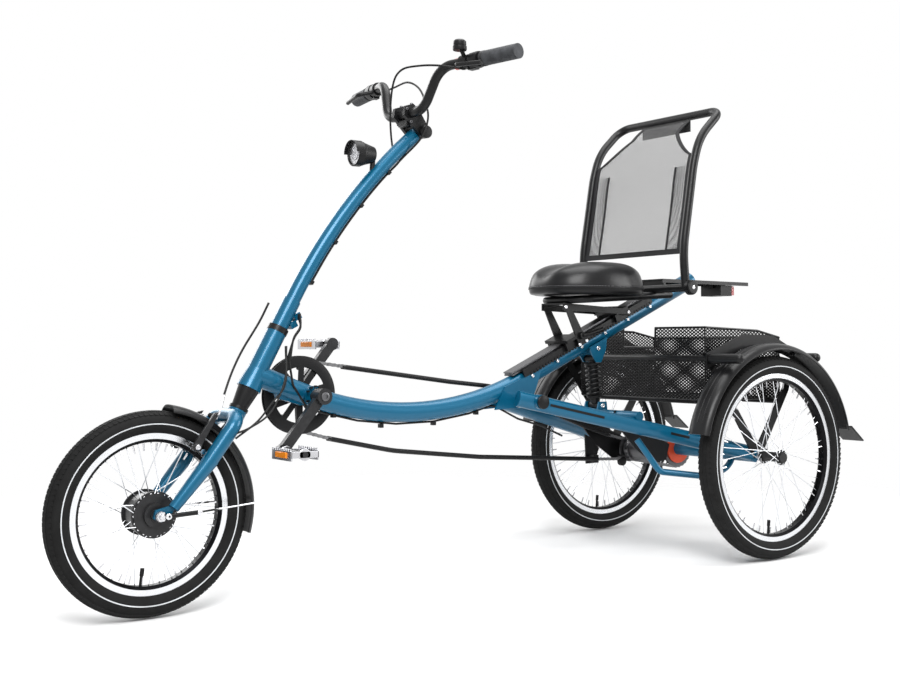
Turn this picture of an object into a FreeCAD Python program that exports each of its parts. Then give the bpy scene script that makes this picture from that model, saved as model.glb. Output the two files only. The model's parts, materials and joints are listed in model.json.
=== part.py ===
import math
import os

import FreeCAD
import Part

os.makedirs("parts", exist_ok=True)

# ---------------------------------------------------------------- driving sizes (mm)
WHEELBASE = 1465.0
TRACK = 648.0
REAR_R = 253.0
FRONT_R = 202.5
TYRE_W = 50.0
RIM_DEPTH = 19.0
RIM_LIP = 44.0
SPOKE_R = 1.0
SPOKES = 36

HEAD_ANGLE = 62.2
HEAD_X, HEAD_Z = 1281.0, 399.0
HEAD_LEN = 186.5
STEERER_R = 14.5
RUN_GAP = 0.05
FACE_GAP = 0.6

BEAM_R = 22.5
BEAM_BEND = 788.0
BEAM_LOW_X, BEAM_LOW_Z = 863.0, 380.0
BEAM_RISE = 24.2
BEAM_FRONT_RISE = 21.3
BEAM_END_X = -38.0

BB_X, BB_Z = 1122.0, 424.0
CRANK_LEN = 142.0
CRANK_ANGLE = -51.0
RING_R = 77.0
RING_Y = -38.0
PEDAL_LEN, PEDAL_W, PEDAL_H = 62.0, 84.0, 24.0

COLUMN_R = 16.5
COLUMN_BEND = 1328.0
COLUMN_TURN = 21.2
SLEEVE_R = 18.5

BAR_R = 11.0
GRIP_R = 16.5
GRIP_END = 338.0
BAR_BEND_LOW, BAR_BEND_TOP = 44.0, 58.0

FORK_R = 15.5
FORK_TIP_R = 11.0
FORK_Y = 59.0

SEAT_X = 342.0
SEAT_LEN, SEAT_WIDTH, SEAT_BASE, SEAT_TOP = 284.0, 252.0, 656.0, 744.0
BACK_Y = 194.0
BACK_TUBE_R = 11.0

PIVOT_X, PIVOT_Z = 556.0, 397.0
ARM_R = 19.0
ARM_END_Y = 268.0

BASKET_X0, BASKET_X1 = -132.0, 150.0
BASKET_Y = 238.0
BASKET_Z0, BASKET_Z1 = 392.0, 575.0

FENDER_R = 283.0
FENDER_HALF = 34.0
FRONT_FENDER_R = 215.0
REAR_OVERHANG = 326.0
PLATE = 3.0

REAR_Y = TRACK / 2.0
X_SHIFT = -(WHEELBASE + FRONT_R - REAR_OVERHANG) / 2.0
UP = FreeCAD.Vector(0, 0, 1)
SIDE = FreeCAD.Vector(0, 1, 0)


# ---------------------------------------------------------------- helpers
def V(x, y, z):
    return FreeCAD.Vector(x, y, z)


def rod(a, b, r, r2=None):
    """Solid round bar or cone from a to b."""
    d = b - a
    if r2 is None or abs(r2 - r) < 1e-6:
        return Part.makeCylinder(r, d.Length, a, d)
    return Part.makeCone(r, r2, d.Length, a, d)


def rod_y(x, z, y0, y1, r):
    lo, hi = min(y0, y1), max(y0, y1)
    return Part.makeCylinder(r, hi - lo, V(x, lo, z), SIDE)


def box(x0, x1, y0, y1, z0, z1):
    return Part.makeBox(x1 - x0, y1 - y0, z1 - z0, V(x0, y0, z0))


def block(centre, size, turn=0.0):
    """Box about centre, turned about Y (degrees, front end up is positive)."""
    sx, sy, sz = size
    s = Part.makeBox(sx, sy, sz, V(-sx / 2.0, -sy / 2.0, -sz / 2.0))
    s.rotate(V(0, 0, 0), V(0, -1, 0), turn)
    s.translate(centre)
    return s


def union(shapes):
    out = shapes[0]
    if len(shapes) > 1:
        out = out.multiFuse(shapes[1:])
    return out.removeSplitter()


def mirror(shape):
    return shape.mirror(V(0, 0, 0), SIDE)


def polygon(points):
    return Part.Face(Part.makePolygon(list(points) + [points[0]]))


def plate_xz(points, y0, y1):
    """Plate standing in the XZ plane, from a list of (x, z)."""
    face = polygon([V(x, y0, z) for x, z in points])
    return face.extrude(V(0, y1 - y0, 0))


def bent_wire(points, bend):
    """Wire through points with tangent arcs of radius bend at the corners."""
    edges = []
    start = points[0]
    for i in range(1, len(points) - 1):
        p, q, n = points[i - 1], points[i], points[i + 1]
        a = (p - q).normalize()
        b = (n - q).normalize()
        half = a.getAngle(b) / 2.0
        radius = bend[i - 1] if isinstance(bend, (list, tuple)) else bend
        back = radius / math.tan(half)
        t1 = q + a * back
        t2 = q + b * back
        mid_dir = (a + b).normalize()
        mid = q + mid_dir * (radius / math.sin(half) - radius)
        if (t1 - start).Length > 1e-4:
            edges.append(Part.makeLine(start, t1))
        edges.append(Part.Arc(t1, mid, t2).toShape())
        start = t2
    if (points[-1] - start).Length > 1e-4:
        edges.append(Part.makeLine(start, points[-1]))
    return Part.Wire(edges)


def pipe(points, r, bend=30.0):
    """Round tube along straight runs joined by tangent arcs."""
    wire = bent_wire(points, bend)
    d = points[1] - points[0]
    ring = Part.Wire([Part.makeCircle(r, points[0], d)])
    return wire.makePipeShell([ring], True, True)


def turn_y(face, x, z, a0, a1):
    """Turn a profile drawn at +X about the Y line at (x, z), from a0 to a1."""
    f = face.copy()
    f.rotate(V(x, 0, z), V(0, -1, 0), a0)
    return f.revolve(V(x, 0, z), V(0, -1, 0), a1 - a0)


def polar(x, z, r, deg, y=0.0):
    a = math.radians(deg)
    return V(x + r * math.cos(a), y, z + r * math.sin(a))


def on_head(s, off=0.0):
    """Point on the steering axis, s up from its foot, off to the front."""
    a = math.radians(HEAD_ANGLE)
    return V(
        HEAD_X - s * math.cos(a) + off * math.sin(a),
        0,
        HEAD_Z + s * math.sin(a) + off * math.cos(a),
    )


def beam_z(x):
    """Height of the beam's centre line."""
    rise = math.radians(BEAM_RISE)
    xt = BEAM_LOW_X - BEAM_BEND * math.sin(rise)
    if x < xt:
        zt = BEAM_LOW_Z + BEAM_BEND * (1 - math.cos(rise))
        return zt + (xt - x) * math.tan(rise)
    return BEAM_LOW_Z + BEAM_BEND - math.sqrt(BEAM_BEND ** 2 - (x - BEAM_LOW_X) ** 2)


def on_rise(x, off, y=0.0):
    """Point above the sloping rear beam, off measured square to it."""
    a = math.radians(BEAM_RISE)
    return V(x + off * math.sin(a), y, beam_z(x) + off * math.cos(a))


NODES = {}


def save(name, shape):
    moved = shape.copy()
    moved.translate(V(X_SHIFT, 0, 0))
    NODES[name] = moved
    moved.exportStep("parts/" + name + ".step")


def both(name, shape):
    """Save a left piece and its mirror on the right, as two nodes."""
    save(name + "_left", shape)
    save(name + "_right", mirror(shape))


def pair(name, shape):
    """Save a left piece and its mirror on the right, as one node."""
    save(name, Part.makeCompound([shape, mirror(shape)]))


# ---------------------------------------------------------------- wheels
def tyre(x, z, y, r):
    lip = r - RIM_LIP
    mid = r - TYRE_W / 2.0
    half = math.sqrt((TYRE_W / 2.0) ** 2 - (mid - lip) ** 2)
    a, b = V(x + lip, y - half, z), V(x + lip, y + half, z)
    arc = Part.Arc(a, V(x + r, y, z), b).toShape()
    face = Part.Face(Part.Wire([arc, Part.makeLine(b, a)]))
    return face.revolve(V(x, y, z), SIDE, 360)


def rim(x, z, y, r):
    lip = r - RIM_LIP
    pts = [(lip, -15), (lip, 15), (lip - 13, 14.5), (lip - RIM_DEPTH, 8.5)]
    pts += [(lip - RIM_DEPTH, -8.5), (lip - 13, -14.5)]
    face = polygon([V(x + p, y + q, z) for p, q in pts])
    return face.revolve(V(x, y, z), SIDE, 360)


def spokes(x, z, y, flange_r, flange_y, rim_r, cross):
    """Tangent-laced spokes, half of them on each flange."""
    per_side = SPOKES // 2
    step = 360.0 / per_side
    out = []
    for side in (-1, 1):
        shift = step / 2.0 if side > 0 else 0.0
        for i in range(per_side):
            lean = 1 if i % 2 == 0 else -1
            hub = i * step + shift
            far = hub + lean * cross * step
            p = polar(x, z, flange_r, hub, y + side * (flange_y + lean * 2.2))
            q = polar(x, z, rim_r, far, y + side * 3.0)
            out.append(rod(p, q, SPOKE_R))
    return out


def wheel(prefix, x, z, y, r, flange_r, flange_y, cross, hub):
    lip = r - RIM_LIP
    save(prefix + "_tyre", tyre(x, z, y, r))
    laced = spokes(x, z, y, flange_r - 4, flange_y, lip - RIM_DEPTH + 2, cross)
    save(prefix + "_rim", rim(x, z, y, r).multiFuse(laced))
    save(prefix + "_hub", hub)


AXLE_R = 6.0


def front_hub():
    x, z = WHEELBASE, FRONT_R
    body = rod_y(x, z, -30, 30, 41)
    flanges = [rod_y(x, z, s * 26 - 1.6, s * 26 + 1.6, 45.5) for s in (-1, 1)]
    caps = [rod_y(x, z, -38, 38, 23), rod_y(x, z, -43, 43, 12)]
    bore = rod_y(x, z, -60, 60, AXLE_R + RUN_GAP)
    return union([body] + flanges + caps).cut(bore)


def rear_hub():
    x, z, y = 0.0, REAR_R, REAR_Y
    parts = [rod_y(x, z, y - 36, y + 30, 12)]
    parts += [rod_y(x, z, y + s * 28 - 1.5, y + s * 28 + 1.5, 19) for s in (-1, 1)]
    parts.append(rod_y(x, z, y + 30, y + 36, 13))
    bore = rod_y(x, z, y - 40, y + 28, 8 + RUN_GAP)
    return union(parts).cut(bore)


wheel("front", WHEELBASE, FRONT_R, 0.0, FRONT_R, 45.5, 26, 1, front_hub())
for name, sign in (("rear_left", 1), ("rear_right", -1)):
    hub = rear_hub() if sign > 0 else mirror(rear_hub())
    wheel(name, 0.0, REAR_R, sign * REAR_Y, REAR_R, 19, 28, 3, hub)

# ---------------------------------------------------------------- main frame
rise = math.radians(BEAM_RISE)
front_rise = math.radians(BEAM_FRONT_RISE)
low_c = V(BEAM_LOW_X, 0, BEAM_LOW_Z + BEAM_BEND)


def on_bend(a):
    return V(low_c.x + BEAM_BEND * math.sin(a), 0, low_c.z - BEAM_BEND * math.cos(a))


rear_t = on_bend(-rise)
front_t = on_bend(front_rise)
beam_end = V(BEAM_END_X, 0, beam_z(BEAM_END_X))
nose_run = (on_head(0).x - 40 - front_t.x) / math.cos(front_rise)
nose = front_t + V(math.cos(front_rise), 0, math.sin(front_rise)) * nose_run
beam_wire = Part.Wire(
    [
        Part.makeLine(beam_end, rear_t),
        Part.Arc(rear_t, on_bend(0), front_t).toShape(),
        Part.makeLine(front_t, nose),
    ]
)
ring = Part.Wire([Part.makeCircle(BEAM_R, beam_end, rear_t - beam_end)])
beam = beam_wire.makePipeShell([ring], True, True)

cone_top, head_top = 48.0, HEAD_LEN - 6.0
head_tube = union(
    [
        rod(on_head(cone_top), on_head(cone_top + 45), 26.0, 21.0),
        rod(on_head(cone_top + 45), on_head(head_top), 21.0),
    ]
)
bb_shell = rod_y(BB_X, BB_Z, -30, 30, 21)
gusset_pts = [(612, 432), (500, 474), (516, 430), (536, 384), (640, 378)]
gussets = [plate_xz(gusset_pts, s - 3.0, s + 3.0) for s in (-22.0, 22.0)]
nose_gusset = plate_xz([(1195, 420), (1140, 404), (1148, 440), (1205, 455)], -8, 8)
shock_lug_pts = [(346, 526), (288, 552), (292, 520), (308, 488), (324, 488), (340, 510)]
shock_lugs = [plate_xz(shock_lug_pts, y - 2, y + 2) for y in (-25, 25)]
pivot_axis = rod_y(PIVOT_X, PIVOT_Z, -30, 30, 17)
frame = union([beam, head_tube, bb_shell, nose_gusset, pivot_axis] + gussets)
frame = frame.cut(rod(on_head(0), on_head(HEAD_LEN), STEERER_R + RUN_GAP))
frame = frame.cut(rod_y(BB_X, BB_Z, -60, 60, 10 + RUN_GAP))
save("main_frame", union([frame] + shock_lugs))

cone = union(
    [
        rod(on_head(6), on_head(cone_top), 17.0, 22.5),
        rod(on_head(0), on_head(6), 20.0),
    ]
)
bore = rod(on_head(-20), on_head(HEAD_LEN + 30), STEERER_R + RUN_GAP)
top_ring = rod(on_head(head_top), on_head(HEAD_LEN + 6), 22.0)
save("headset", Part.makeCompound([cone.cut(bore), top_ring.cut(bore)]))

# ---------------------------------------------------------------- rail and seat
rail_len = 470.0
rail_mid = 355.0


def slope_block(x, length, y0, y1, o0, o1):
    """Box lying along the rear beam, between two offsets square to it."""
    c = on_rise(x, (o0 + o1) / 2.0, (y0 + y1) / 2.0)
    return block(c, (length, y1 - y0, o1 - o0), -BEAM_RISE)


SIDE_IN = BEAM_R + 0.3
STRIP = 4.0
RAIL_TOP = 34.0
strip_out = SIDE_IN + STRIP
channel = [slope_block(336, 466, -strip_out, strip_out, SIDE_IN, SIDE_IN + 1.5)]
for s in (-1, 1):
    lo, hi = sorted((s * SIDE_IN, s * strip_out))
    channel.append(slope_block(336, 466, lo, hi, 9, SIDE_IN + 5))
save("rail_channel", union(channel))
rail = slope_block(358, rail_len, -17, 17, SIDE_IN + 1.5, RAIL_TOP)
groove = slope_block(358, rail_len + 4, 13, 19, SIDE_IN + 5, SIDE_IN + 8)
save("seat_rail", rail.cut(groove).cut(mirror(groove)))

bracket = []
for y in (-44.0, 40.0):
    bracket.append(plate_xz([(446, 636), (428, 636), (368, 540), (394, 528)], y, y + 4))
    bracket.append(plate_xz([(446, 636), (446, 618), (214, 610), (214, 624)], y, y + 4))
bracket.append(box(420, 444, -44, 44, 632, 636))
for x in (400.0, 236.0):
    bracket.append(slope_block(x, 42, -44, 44, RAIL_TOP, RAIL_TOP + 8))
    for s in (-1, 1):
        lo, hi = sorted((s * (strip_out + 0.5), s * 36))
        bracket.append(slope_block(x, 42, lo, hi, 14, RAIL_TOP + 8))
save("seat_bracket", union(bracket))

half_w = SEAT_WIDTH / 2.0
seat_front = SEAT_X + SEAT_LEN / 2.0
seat_rear = SEAT_X - SEAT_LEN / 2.0
outline = [
    (seat_front, 0), (seat_front - 10, 48), (seat_front - 50, 82), (SEAT_X + 10, 110),
    (SEAT_X - 60, half_w), (seat_rear + 30, half_w - 6), (seat_rear + 4, 80), (seat_rear + 8, 0),
]
outline += [(x, -y) for x, y in reversed(outline[1:-1])]
curve = Part.BSplineCurve()
curve.interpolate([V(x, y, SEAT_BASE) for x, y in outline], PeriodicFlag=True)
saddle = Part.Face(Part.Wire([curve.toShape()])).extrude(V(0, 0, SEAT_TOP - SEAT_BASE))
top_edges = [e for e in saddle.Edges if e.BoundBox.ZMin > SEAT_TOP - 1]
saddle = saddle.makeFillet(34.0, top_edges)

frame_z = SEAT_BASE - 12.0
hoop_front = 426.0
hoop_w = 78.0
hoop = pipe(
    [V(112, -hoop_w, frame_z + 20), V(hoop_front, -hoop_w, frame_z), V(hoop_front, hoop_w, frame_z),
     V(112, hoop_w, frame_z + 20)], 9.5, 45.0)
cross_x, cross_z = 172.0, 676.0
cross = rod_y(cross_x, cross_z, -BACK_Y - 12, BACK_Y + 12, 10)
stays = [rod(V(130, y, frame_z + 19), V(cross_x, y, cross_z), 9) for y in (-hoop_w, hoop_w)]
seat_pan = box(SEAT_X - 90, SEAT_X + 80, -hoop_w, hoop_w, frame_z + 6, SEAT_BASE)
discs = [rod_y(cross_x, cross_z, s * (BACK_Y + 12), s * (BACK_Y + 22), 19) for s in (-1, 1)]
seat_tubes = union([hoop, cross, seat_pan] + stays + discs)
save("seat_frame", seat_tubes.cut(NODES["seat_bracket"].translated(V(-X_SHIFT, 0, 0))))
save("saddle", saddle.cut(seat_tubes))

back_pts = [(cross_x, cross_z), (cross_x + 8, 770), (142, 990), (120, 1062), (36, 1143)]
near = [V(x, BACK_Y, z) for x, z in back_pts]
far = [V(x, -BACK_Y, z) for x, z in reversed(back_pts)]
loop = pipe(near + far, BACK_TUBE_R, [300, 300, 160, 38, 38, 160, 300, 300])
loop = loop.cut(rod_y(cross_x, cross_z, -BACK_Y - 30, BACK_Y + 30, 10.1))
save("backrest_frame", loop)
sheet_pts = [(cross_x + 9, 762), (cross_x + 9, 772), (143, 990), (121, 1060), (52, 1129)]
sheet_back = [(x - 3.0, z) for x, z in reversed(sheet_pts)]
sheet_y = BACK_Y - BACK_TUBE_R
save("backrest_mesh", plate_xz(sheet_pts + sheet_back, -sheet_y, sheet_y).cut(loop))

rack_z = 704.0
rack = union(
    [
        box(-226, 108, -45, 45, rack_z, rack_z + PLATE),
        box(-226, 108, 42, 45, rack_z - 7, rack_z + 2),
        box(-226, 108, -45, -42, rack_z - 7, rack_z + 2),
        box(96, 104, -45, 45, 672, rack_z),
    ]
)
frame_whole = NODES["main_frame"].translated(V(-X_SHIFT, 0, 0))
rack = rack.cut(frame_whole).cut(seat_tubes)
save("rack_plate", rack)
lamp = union([box(-166, -122, -38, 38, 668, 697), box(-146, -116, -14, 14, 690, rack_z)])
save("tail_light", lamp)
save("tail_lens", box(-176, -166, -37, 37, 670, 696))

# ---------------------------------------------------------------- swingarm and drive
axle_z = REAR_R
arm_front = V(PIVOT_X + 44, 58, PIVOT_Z + 8)
arm_back = V(0, ARM_END_Y - 8, axle_z + 3)
arms = [rod(arm_front, arm_back, ARM_R)]
arms.append(mirror(arms[0]))
pivot_tube = [rod_y(PIVOT_X, PIVOT_Z, s * 30, s * 96, 17) for s in (-1, 1)]
housing = rod_y(0, axle_z, -ARM_END_Y, ARM_END_Y, 18)
cross_lo = rod_y(305, 357, -166, 166, 12)
shock_feet = []
for y in (-25, 25):
    shock_feet.append(plate_xz([(286, 352), (290, 388), (316, 388), (326, 356), (306, 346)], y - 2, y + 2))
skid = pipe([V(300, 150, 300), V(262, 190, 222), V(130, 198, 204), V(30, 202, 214), V(14, 202, 246)],
            8, [22, 60, 60, 14])
swing = union(arms + pivot_tube + [housing, cross_lo, skid] + shock_feet)
swing = swing.cut(rod_y(0, axle_z, -400, 400, 8))
save("swingarm", swing)
save("rear_axle", rod_y(0, axle_z, -(REAR_Y + 27), REAR_Y + 27, 8))
cap = rod_y(PIVOT_X, PIVOT_Z, 96, 102, 14)
pair("pivot_caps", cap)


def shock():
    """Coil-over damper between its two eyes, turned as one piece."""
    top, low = V(316, 0, 498), V(304, 0, 378)
    d = (low - top).normalize()
    run = (low - top).Length
    pitch = (run - 42) / 7.0
    profile = [(4, 0), (4, 9), (9, 9), (9, 21), (15, 21)]
    for k in range(7):
        start = 15 + pitch * k
        profile += [(start + 1, 15), (start + pitch * 0.35, 20.5), (start + pitch * 0.7, 20.5)]
    profile += [(run - 26, 15), (run - 25, 21), (run - 18, 21), (run - 17, 13), (run - 5, 12), (run - 5, 0)]
    wire = Part.makePolygon([V(r, 0, t) for t, r in profile + [profile[0]]])
    body = Part.Face(wire).revolve(V(0, 0, 0), UP, 360)
    body.Placement = FreeCAD.Placement(top, FreeCAD.Rotation(UP, d))
    return union([body] + [rod_y(p.x, p.z, -23, 23, 8) for p in (top, low)])


save("shock", shock())

GEAR_X, GEAR_Z = 152.0, 258.0
TUBE_R = 5.5
upper = [(1018, 484), (728, 445), (590, 430), (440, 372), (300, 320), (222, 296)]
lower = [(1052, 327), (884, 291), (640, 263), (470, 251), (262, 236)]


save("chain_tube_upper", pipe([V(x, RING_Y - 2, z) for x, z in upper], TUBE_R, 300.0).cut(swing))
lower_tube = pipe([V(x, RING_Y - 2, z) for x, z in lower], TUBE_R, 400.0)
save("chain_tube_lower", lower_tube)

gear = union(
    [
        rod_y(GEAR_X, GEAR_Z, -34, 60, 26),
        rod_y(GEAR_X, GEAR_Z, -60, 84, 6),
        rod_y(GEAR_X, GEAR_Z, -42, -38, 34),
        rod_y(GEAR_X, GEAR_Z, -48, -34, 20),
        rod_y(GEAR_X, GEAR_Z, -16, -12, 31),
    ]
)
save("gear_hub", gear)
axle_disc = rod_y(0, axle_z, -16, -12, 50)
axle_hub = rod_y(0, axle_z, -24, -12, 24)
spider = rod_y(0, axle_z, -11.9, -8, 40)
axle_bore = rod_y(0, axle_z, -60, 60, 18)
save("axle_sprocket", union([axle_disc, axle_hub]).cut(axle_bore))
save("sprocket_spider", spider.cut(axle_bore))

plate_pts = [(318, 368), (318, 342), (250, 272), (190, 232), (140, 236), (128, 276), (250, 330), (286, 368)]
gear_plates = [plate_xz(plate_pts, y, y + 4) for y in (84, -64)]
hanger_pts = [(270, 292), (288, 300), (284, 224), (256, 224), (240, 262)]
gear_plates.append(plate_xz(hanger_pts, -64, -60))
gear_plates.append(block(V(269, -50, 237), (16, 24, 20)))
carrier = union(gear_plates).cut(swing).cut(gear).cut(lower_tube)
save("gear_plates", carrier)

V_Y = 272.0
v_plates = [
    plate_xz([(198, 512), (176, 512), (-14, 256), (12, 246)], V_Y, V_Y + 3),
    plate_xz([(-176, 498), (-152, 498), (16, 258), (-10, 244)], V_Y, V_Y + 3),
]
spacers = [rod_y(x, z, V_Y + 3, 286.5, 6) for x, z in ((172, 492), (-158, 484))]
v_side = union(v_plates).cut(rod_y(0, axle_z, 0, 400, 8))
v_side = union([v_side] + spacers).cut(swing)
bars = union([rod_y(x, BASKET_Z0 - 5, -V_Y, V_Y, 6) for x in (96, -92)])

# ---------------------------------------------------------------- fenders, bars, basket
def fender(x, z, y, r, half, a0, a1, drop=14.0, t=2.4):
    out_pts = [(r - drop, -half), (r - 3.5, -half * 0.72), (r, 0), (r - 3.5, half * 0.72), (r - drop, half)]
    in_pts = [(p - t, q * 0.965) for p, q in reversed(out_pts)]
    outer = Part.BSplineCurve()
    outer.interpolate([V(x + p, y + q, z) for p, q in out_pts])
    inner = Part.BSplineCurve()
    inner.interpolate([V(x + p, y + q, z) for p, q in in_pts])
    a, b = outer.toShape(), inner.toShape()
    pts = [V(x + p, y + q, z) for p, q in (out_pts[-1], in_pts[0], in_pts[-1], out_pts[0])]
    wire = Part.Wire([a, Part.makeLine(pts[0], pts[1]), b, Part.makeLine(pts[2], pts[3])])
    return turn_y(Part.Face(wire), x, z, a0, a1)


rear_guard = fender(0, axle_z, REAR_Y, FENDER_R, FENDER_HALF, 14, 168)
flap = plate_xz([(-REAR_OVERHANG, 280), (-REAR_OVERHANG + 4, 278), (-272, 316), (-276, 320)],
                REAR_Y - 33, REAR_Y + 33)
both("rear_fender", union([rear_guard, flap]))

arch_pts = [(198, 512), (64, 560), (-46, 556), (-118, 524), (-182, 508), (-182, 474), (-128, 494)]
arch_pts += [(-46, 530), (64, 526), (198, 474)]
arch_y = REAR_Y - FENDER_HALF - 3.5
arch = plate_xz(arch_pts, arch_y, arch_y + 3.9)
bumper_ends = ((184, REAR_Y + 60), (-165, REAR_Y + 6))
bumpers = [rod_y(x, 499, arch_y + 1.5, y, 12) for x, y in bumper_ends]
domes = [Part.makeSphere(12, V(x, y, 499)) for x, y in bumper_ends]
pins = []
for angle in (66, 112):
    pin_at = polar(0, axle_z, FENDER_R - 6, angle)
    pins.append(rod_y(pin_at.x, pin_at.z, arch_y + 1.5, REAR_Y - 16, 5))
guard_side = union([arch] + bumpers + domes + pins).cut(rear_guard).cut(v_side)
cross_bar = rod_y(184, 499, -arch_y, arch_y, 8).cut(v_side).cut(mirror(v_side))
save("fender_bar", Part.makeCompound([guard_side, mirror(guard_side), cross_bar]))

basket_pts = [(BASKET_X0, BASKET_Z0), (BASKET_X1, BASKET_Z0), (BASKET_X1, BASKET_Z1 + 3),
              (BASKET_X0 + 83, BASKET_Z1 - 7), (BASKET_X0, BASKET_Z1 - 24)]
WALL = 2.5
shell = plate_xz(basket_pts, -BASKET_Y, BASKET_Y)
shell = shell.cut(box(BASKET_X0 + WALL, BASKET_X1 - WALL, -BASKET_Y + WALL, BASKET_Y - WALL,
                      BASKET_Z0 + WALL, BASKET_Z1 + 9))
notch = box(BASKET_X1 - 20, BASKET_X1 + 5, -64, 58, BASKET_Z1 - 52, BASKET_Z1 + 9)
basket = shell.cut(notch)
save("basket", basket)
save("rear_carrier", Part.makeCompound([v_side, mirror(v_side)] + bars.cut(basket).Solids))

# ---------------------------------------------------------------- steering
crown = on_head(-FACE_GAP - 16)
leg_mid = V(1366, FORK_Y, 303)
leg_end = V(WHEELBASE - 26, FORK_Y, 216)
shoulder = V(crown.x + 16, FORK_Y, crown.z + 3)


def flip(p):
    return V(p.x, -p.y, p.z)


over = pipe([leg_mid, shoulder, flip(shoulder), flip(leg_mid)], FORK_R, 30)
steerer = rod(on_head(-14), on_head(HEAD_LEN + 6 + FACE_GAP), STEERER_R)
crown_cap = rod(on_head(-FACE_GAP - 30), on_head(-FACE_GAP), 19)
tab_pts = [(leg_end.x - 10, 224), (leg_end.x + 2, 206), (WHEELBASE - 4, FRONT_R - 12),
           (WHEELBASE + 12, FRONT_R - 4), (WHEELBASE + 8, FRONT_R + 12)]


def lower_leg(sign):
    """Tapered blade of one leg, with its axle tab."""
    mid, end = (leg_mid, leg_end) if sign > 0 else (flip(leg_mid), flip(leg_end))
    y0, y1 = sorted((sign * (FORK_Y - 9), sign * (FORK_Y - 3)))
    start = mid - (end - mid) * 0.03
    return union([rod(start, end, FORK_R + 0.7, FORK_TIP_R), plate_xz(tab_pts, y0, y1)])


fork = union([over, crown_cap, steerer, lower_leg(1), lower_leg(-1)])
save("fork", fork.cut(rod_y(WHEELBASE, FRONT_R, -80, 80, AXLE_R)))
axle = [rod_y(WHEELBASE, FRONT_R, -70, 70, AXLE_R)]
for s in (-1, 1):
    axle.append(rod_y(WHEELBASE, FRONT_R, s * (FORK_Y - 3), s * (FORK_Y + 5), 10))
    axle.append(rod_y(WHEELBASE, FRONT_R, s * (FORK_Y - 13), s * (FORK_Y - 9), 9))
save("front_axle", union(axle))

col_start = on_head(264.8)
tilt = math.radians(HEAD_ANGLE)
turn = math.radians(COLUMN_TURN)
col_c = V(col_start.x - COLUMN_BEND * math.sin(tilt), 0, col_start.z - COLUMN_BEND * math.cos(tilt))


def on_column(t, off=0.0):
    """Point on the curved column, t from 0 at the sleeve to 1 at the stem."""
    a = math.pi / 2.0 - tilt + turn * t
    r = COLUMN_BEND + off
    return V(col_c.x + r * math.cos(a), 0, col_c.z + r * math.sin(a))


col_wire = Part.Wire(
    [
        Part.makeLine(on_head(HEAD_LEN + 6 + FACE_GAP), col_start),
        Part.Arc(col_start, on_column(0.5), on_column(1.0)).toShape(),
    ]
)
ring = Part.Wire([Part.makeCircle(COLUMN_R, on_head(HEAD_LEN + 6 + FACE_GAP), on_head(300) - on_head(200))])
column = col_wire.makePipeShell([ring], True, True)
sleeve = rod(on_head(HEAD_LEN + 6 + FACE_GAP), on_head(258), SLEEVE_R)
lugs = [block(on_head(s, -24), (14, 18, 16), HEAD_ANGLE) for s in (212, 232)]
column = union([column, sleeve] + lugs).cut(rod(on_head(150), on_head(HEAD_LEN + 6 + FACE_GAP), 60))
save("column", column)

tip = on_column(1.0)
pivot = V(tip.x - 10, 0, tip.z + 4)
clamp_c = V(880, 0, 1060)
stem = [rod_y(pivot.x, pivot.z, -31, 31, 14)]
for s in (-1, 1):
    lo, hi = sorted((s * 17.5, s * 27))
    stem.append(plate_xz([(pivot.x - 4, pivot.z - 14), (pivot.x + 12, pivot.z - 10), (clamp_c.x + 20, clamp_c.z - 6),
                          (clamp_c.x + 17, clamp_c.z + 15), (clamp_c.x - 4, clamp_c.z + 22),
                          (clamp_c.x - 20, clamp_c.z + 10), (pivot.x - 13, pivot.z + 6)], lo, hi))
stem = union(stem + [box(clamp_c.x - 12, clamp_c.x + 8, -18, 18, clamp_c.z - 28, clamp_c.z - 14)])
save("stem", stem.cut(rod_y(clamp_c.x, clamp_c.z, -60, 60, BAR_R)).cut(column))

bar_pts = [V(clamp_c.x, 0, clamp_c.z), V(clamp_c.x, 76, clamp_c.z), V(864, 118, 1152),
           V(838, 212, 1153), V(812, GRIP_END, 1155)]
left_bar = pipe(bar_pts, BAR_R, [BAR_BEND_LOW, BAR_BEND_TOP, 200])
bar = union([left_bar, mirror(left_bar)])
flare = (bar_pts[4] - bar_pts[3]).normalize()
grip_a = bar_pts[3] + flare * 26
grip_b = bar_pts[4]
bar = bar.cut(rod(grip_a, grip_b + (grip_b - grip_a) * 0.2, 30))
bar = bar.cut(mirror(rod(grip_a, grip_b + (grip_b - grip_a) * 0.2, 30)))
save("handlebar", bar)
pair("grips", rod(grip_a, grip_b, GRIP_R))
lever_hub = rod(bar_pts[3] + V(3, -12, 0), bar_pts[3] + V(8, -34, 0), 16)
lever_arm = pipe([V(852, 186, 1146), V(884, 210, 1138), V(870, 284, 1132)], 5, 12)
lever = union([lever_hub, lever_arm]).cut(rod(bar_pts[2], bar_pts[3], BAR_R))
pair("brake_levers", lever)
bell = union([rod(V(852, 192, 1168), V(866, 200, 1182), 5), rod(V(868, 200, 1174), V(868, 200, 1192), 15)])
save("bell", bell.cut(NODES["brake_levers"].translated(V(-X_SHIFT, 0, 0))).cut(bar))

lamp_c = V(1000, 0, 958)
lamp_d = V(1, 0, -0.02).normalize()
lamp_body = union([rod(lamp_c - lamp_d * 34, lamp_c, 18, 28), rod(lamp_c, lamp_c + lamp_d * 14, 29),
                   rod(V(966, 0, 945), V(968, 0, 905), 6)]).cut(column)
save("headlight", lamp_body.cut(rod(lamp_c + lamp_d * 8, lamp_c + lamp_d * 20, 26)))
save("headlight_lens", rod(lamp_c + lamp_d * 8, lamp_c + lamp_d * 13, 26))

save("front_fender", fender(WHEELBASE, FRONT_R, 0, FRONT_FENDER_R, 33, 100, 195, 13))

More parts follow.
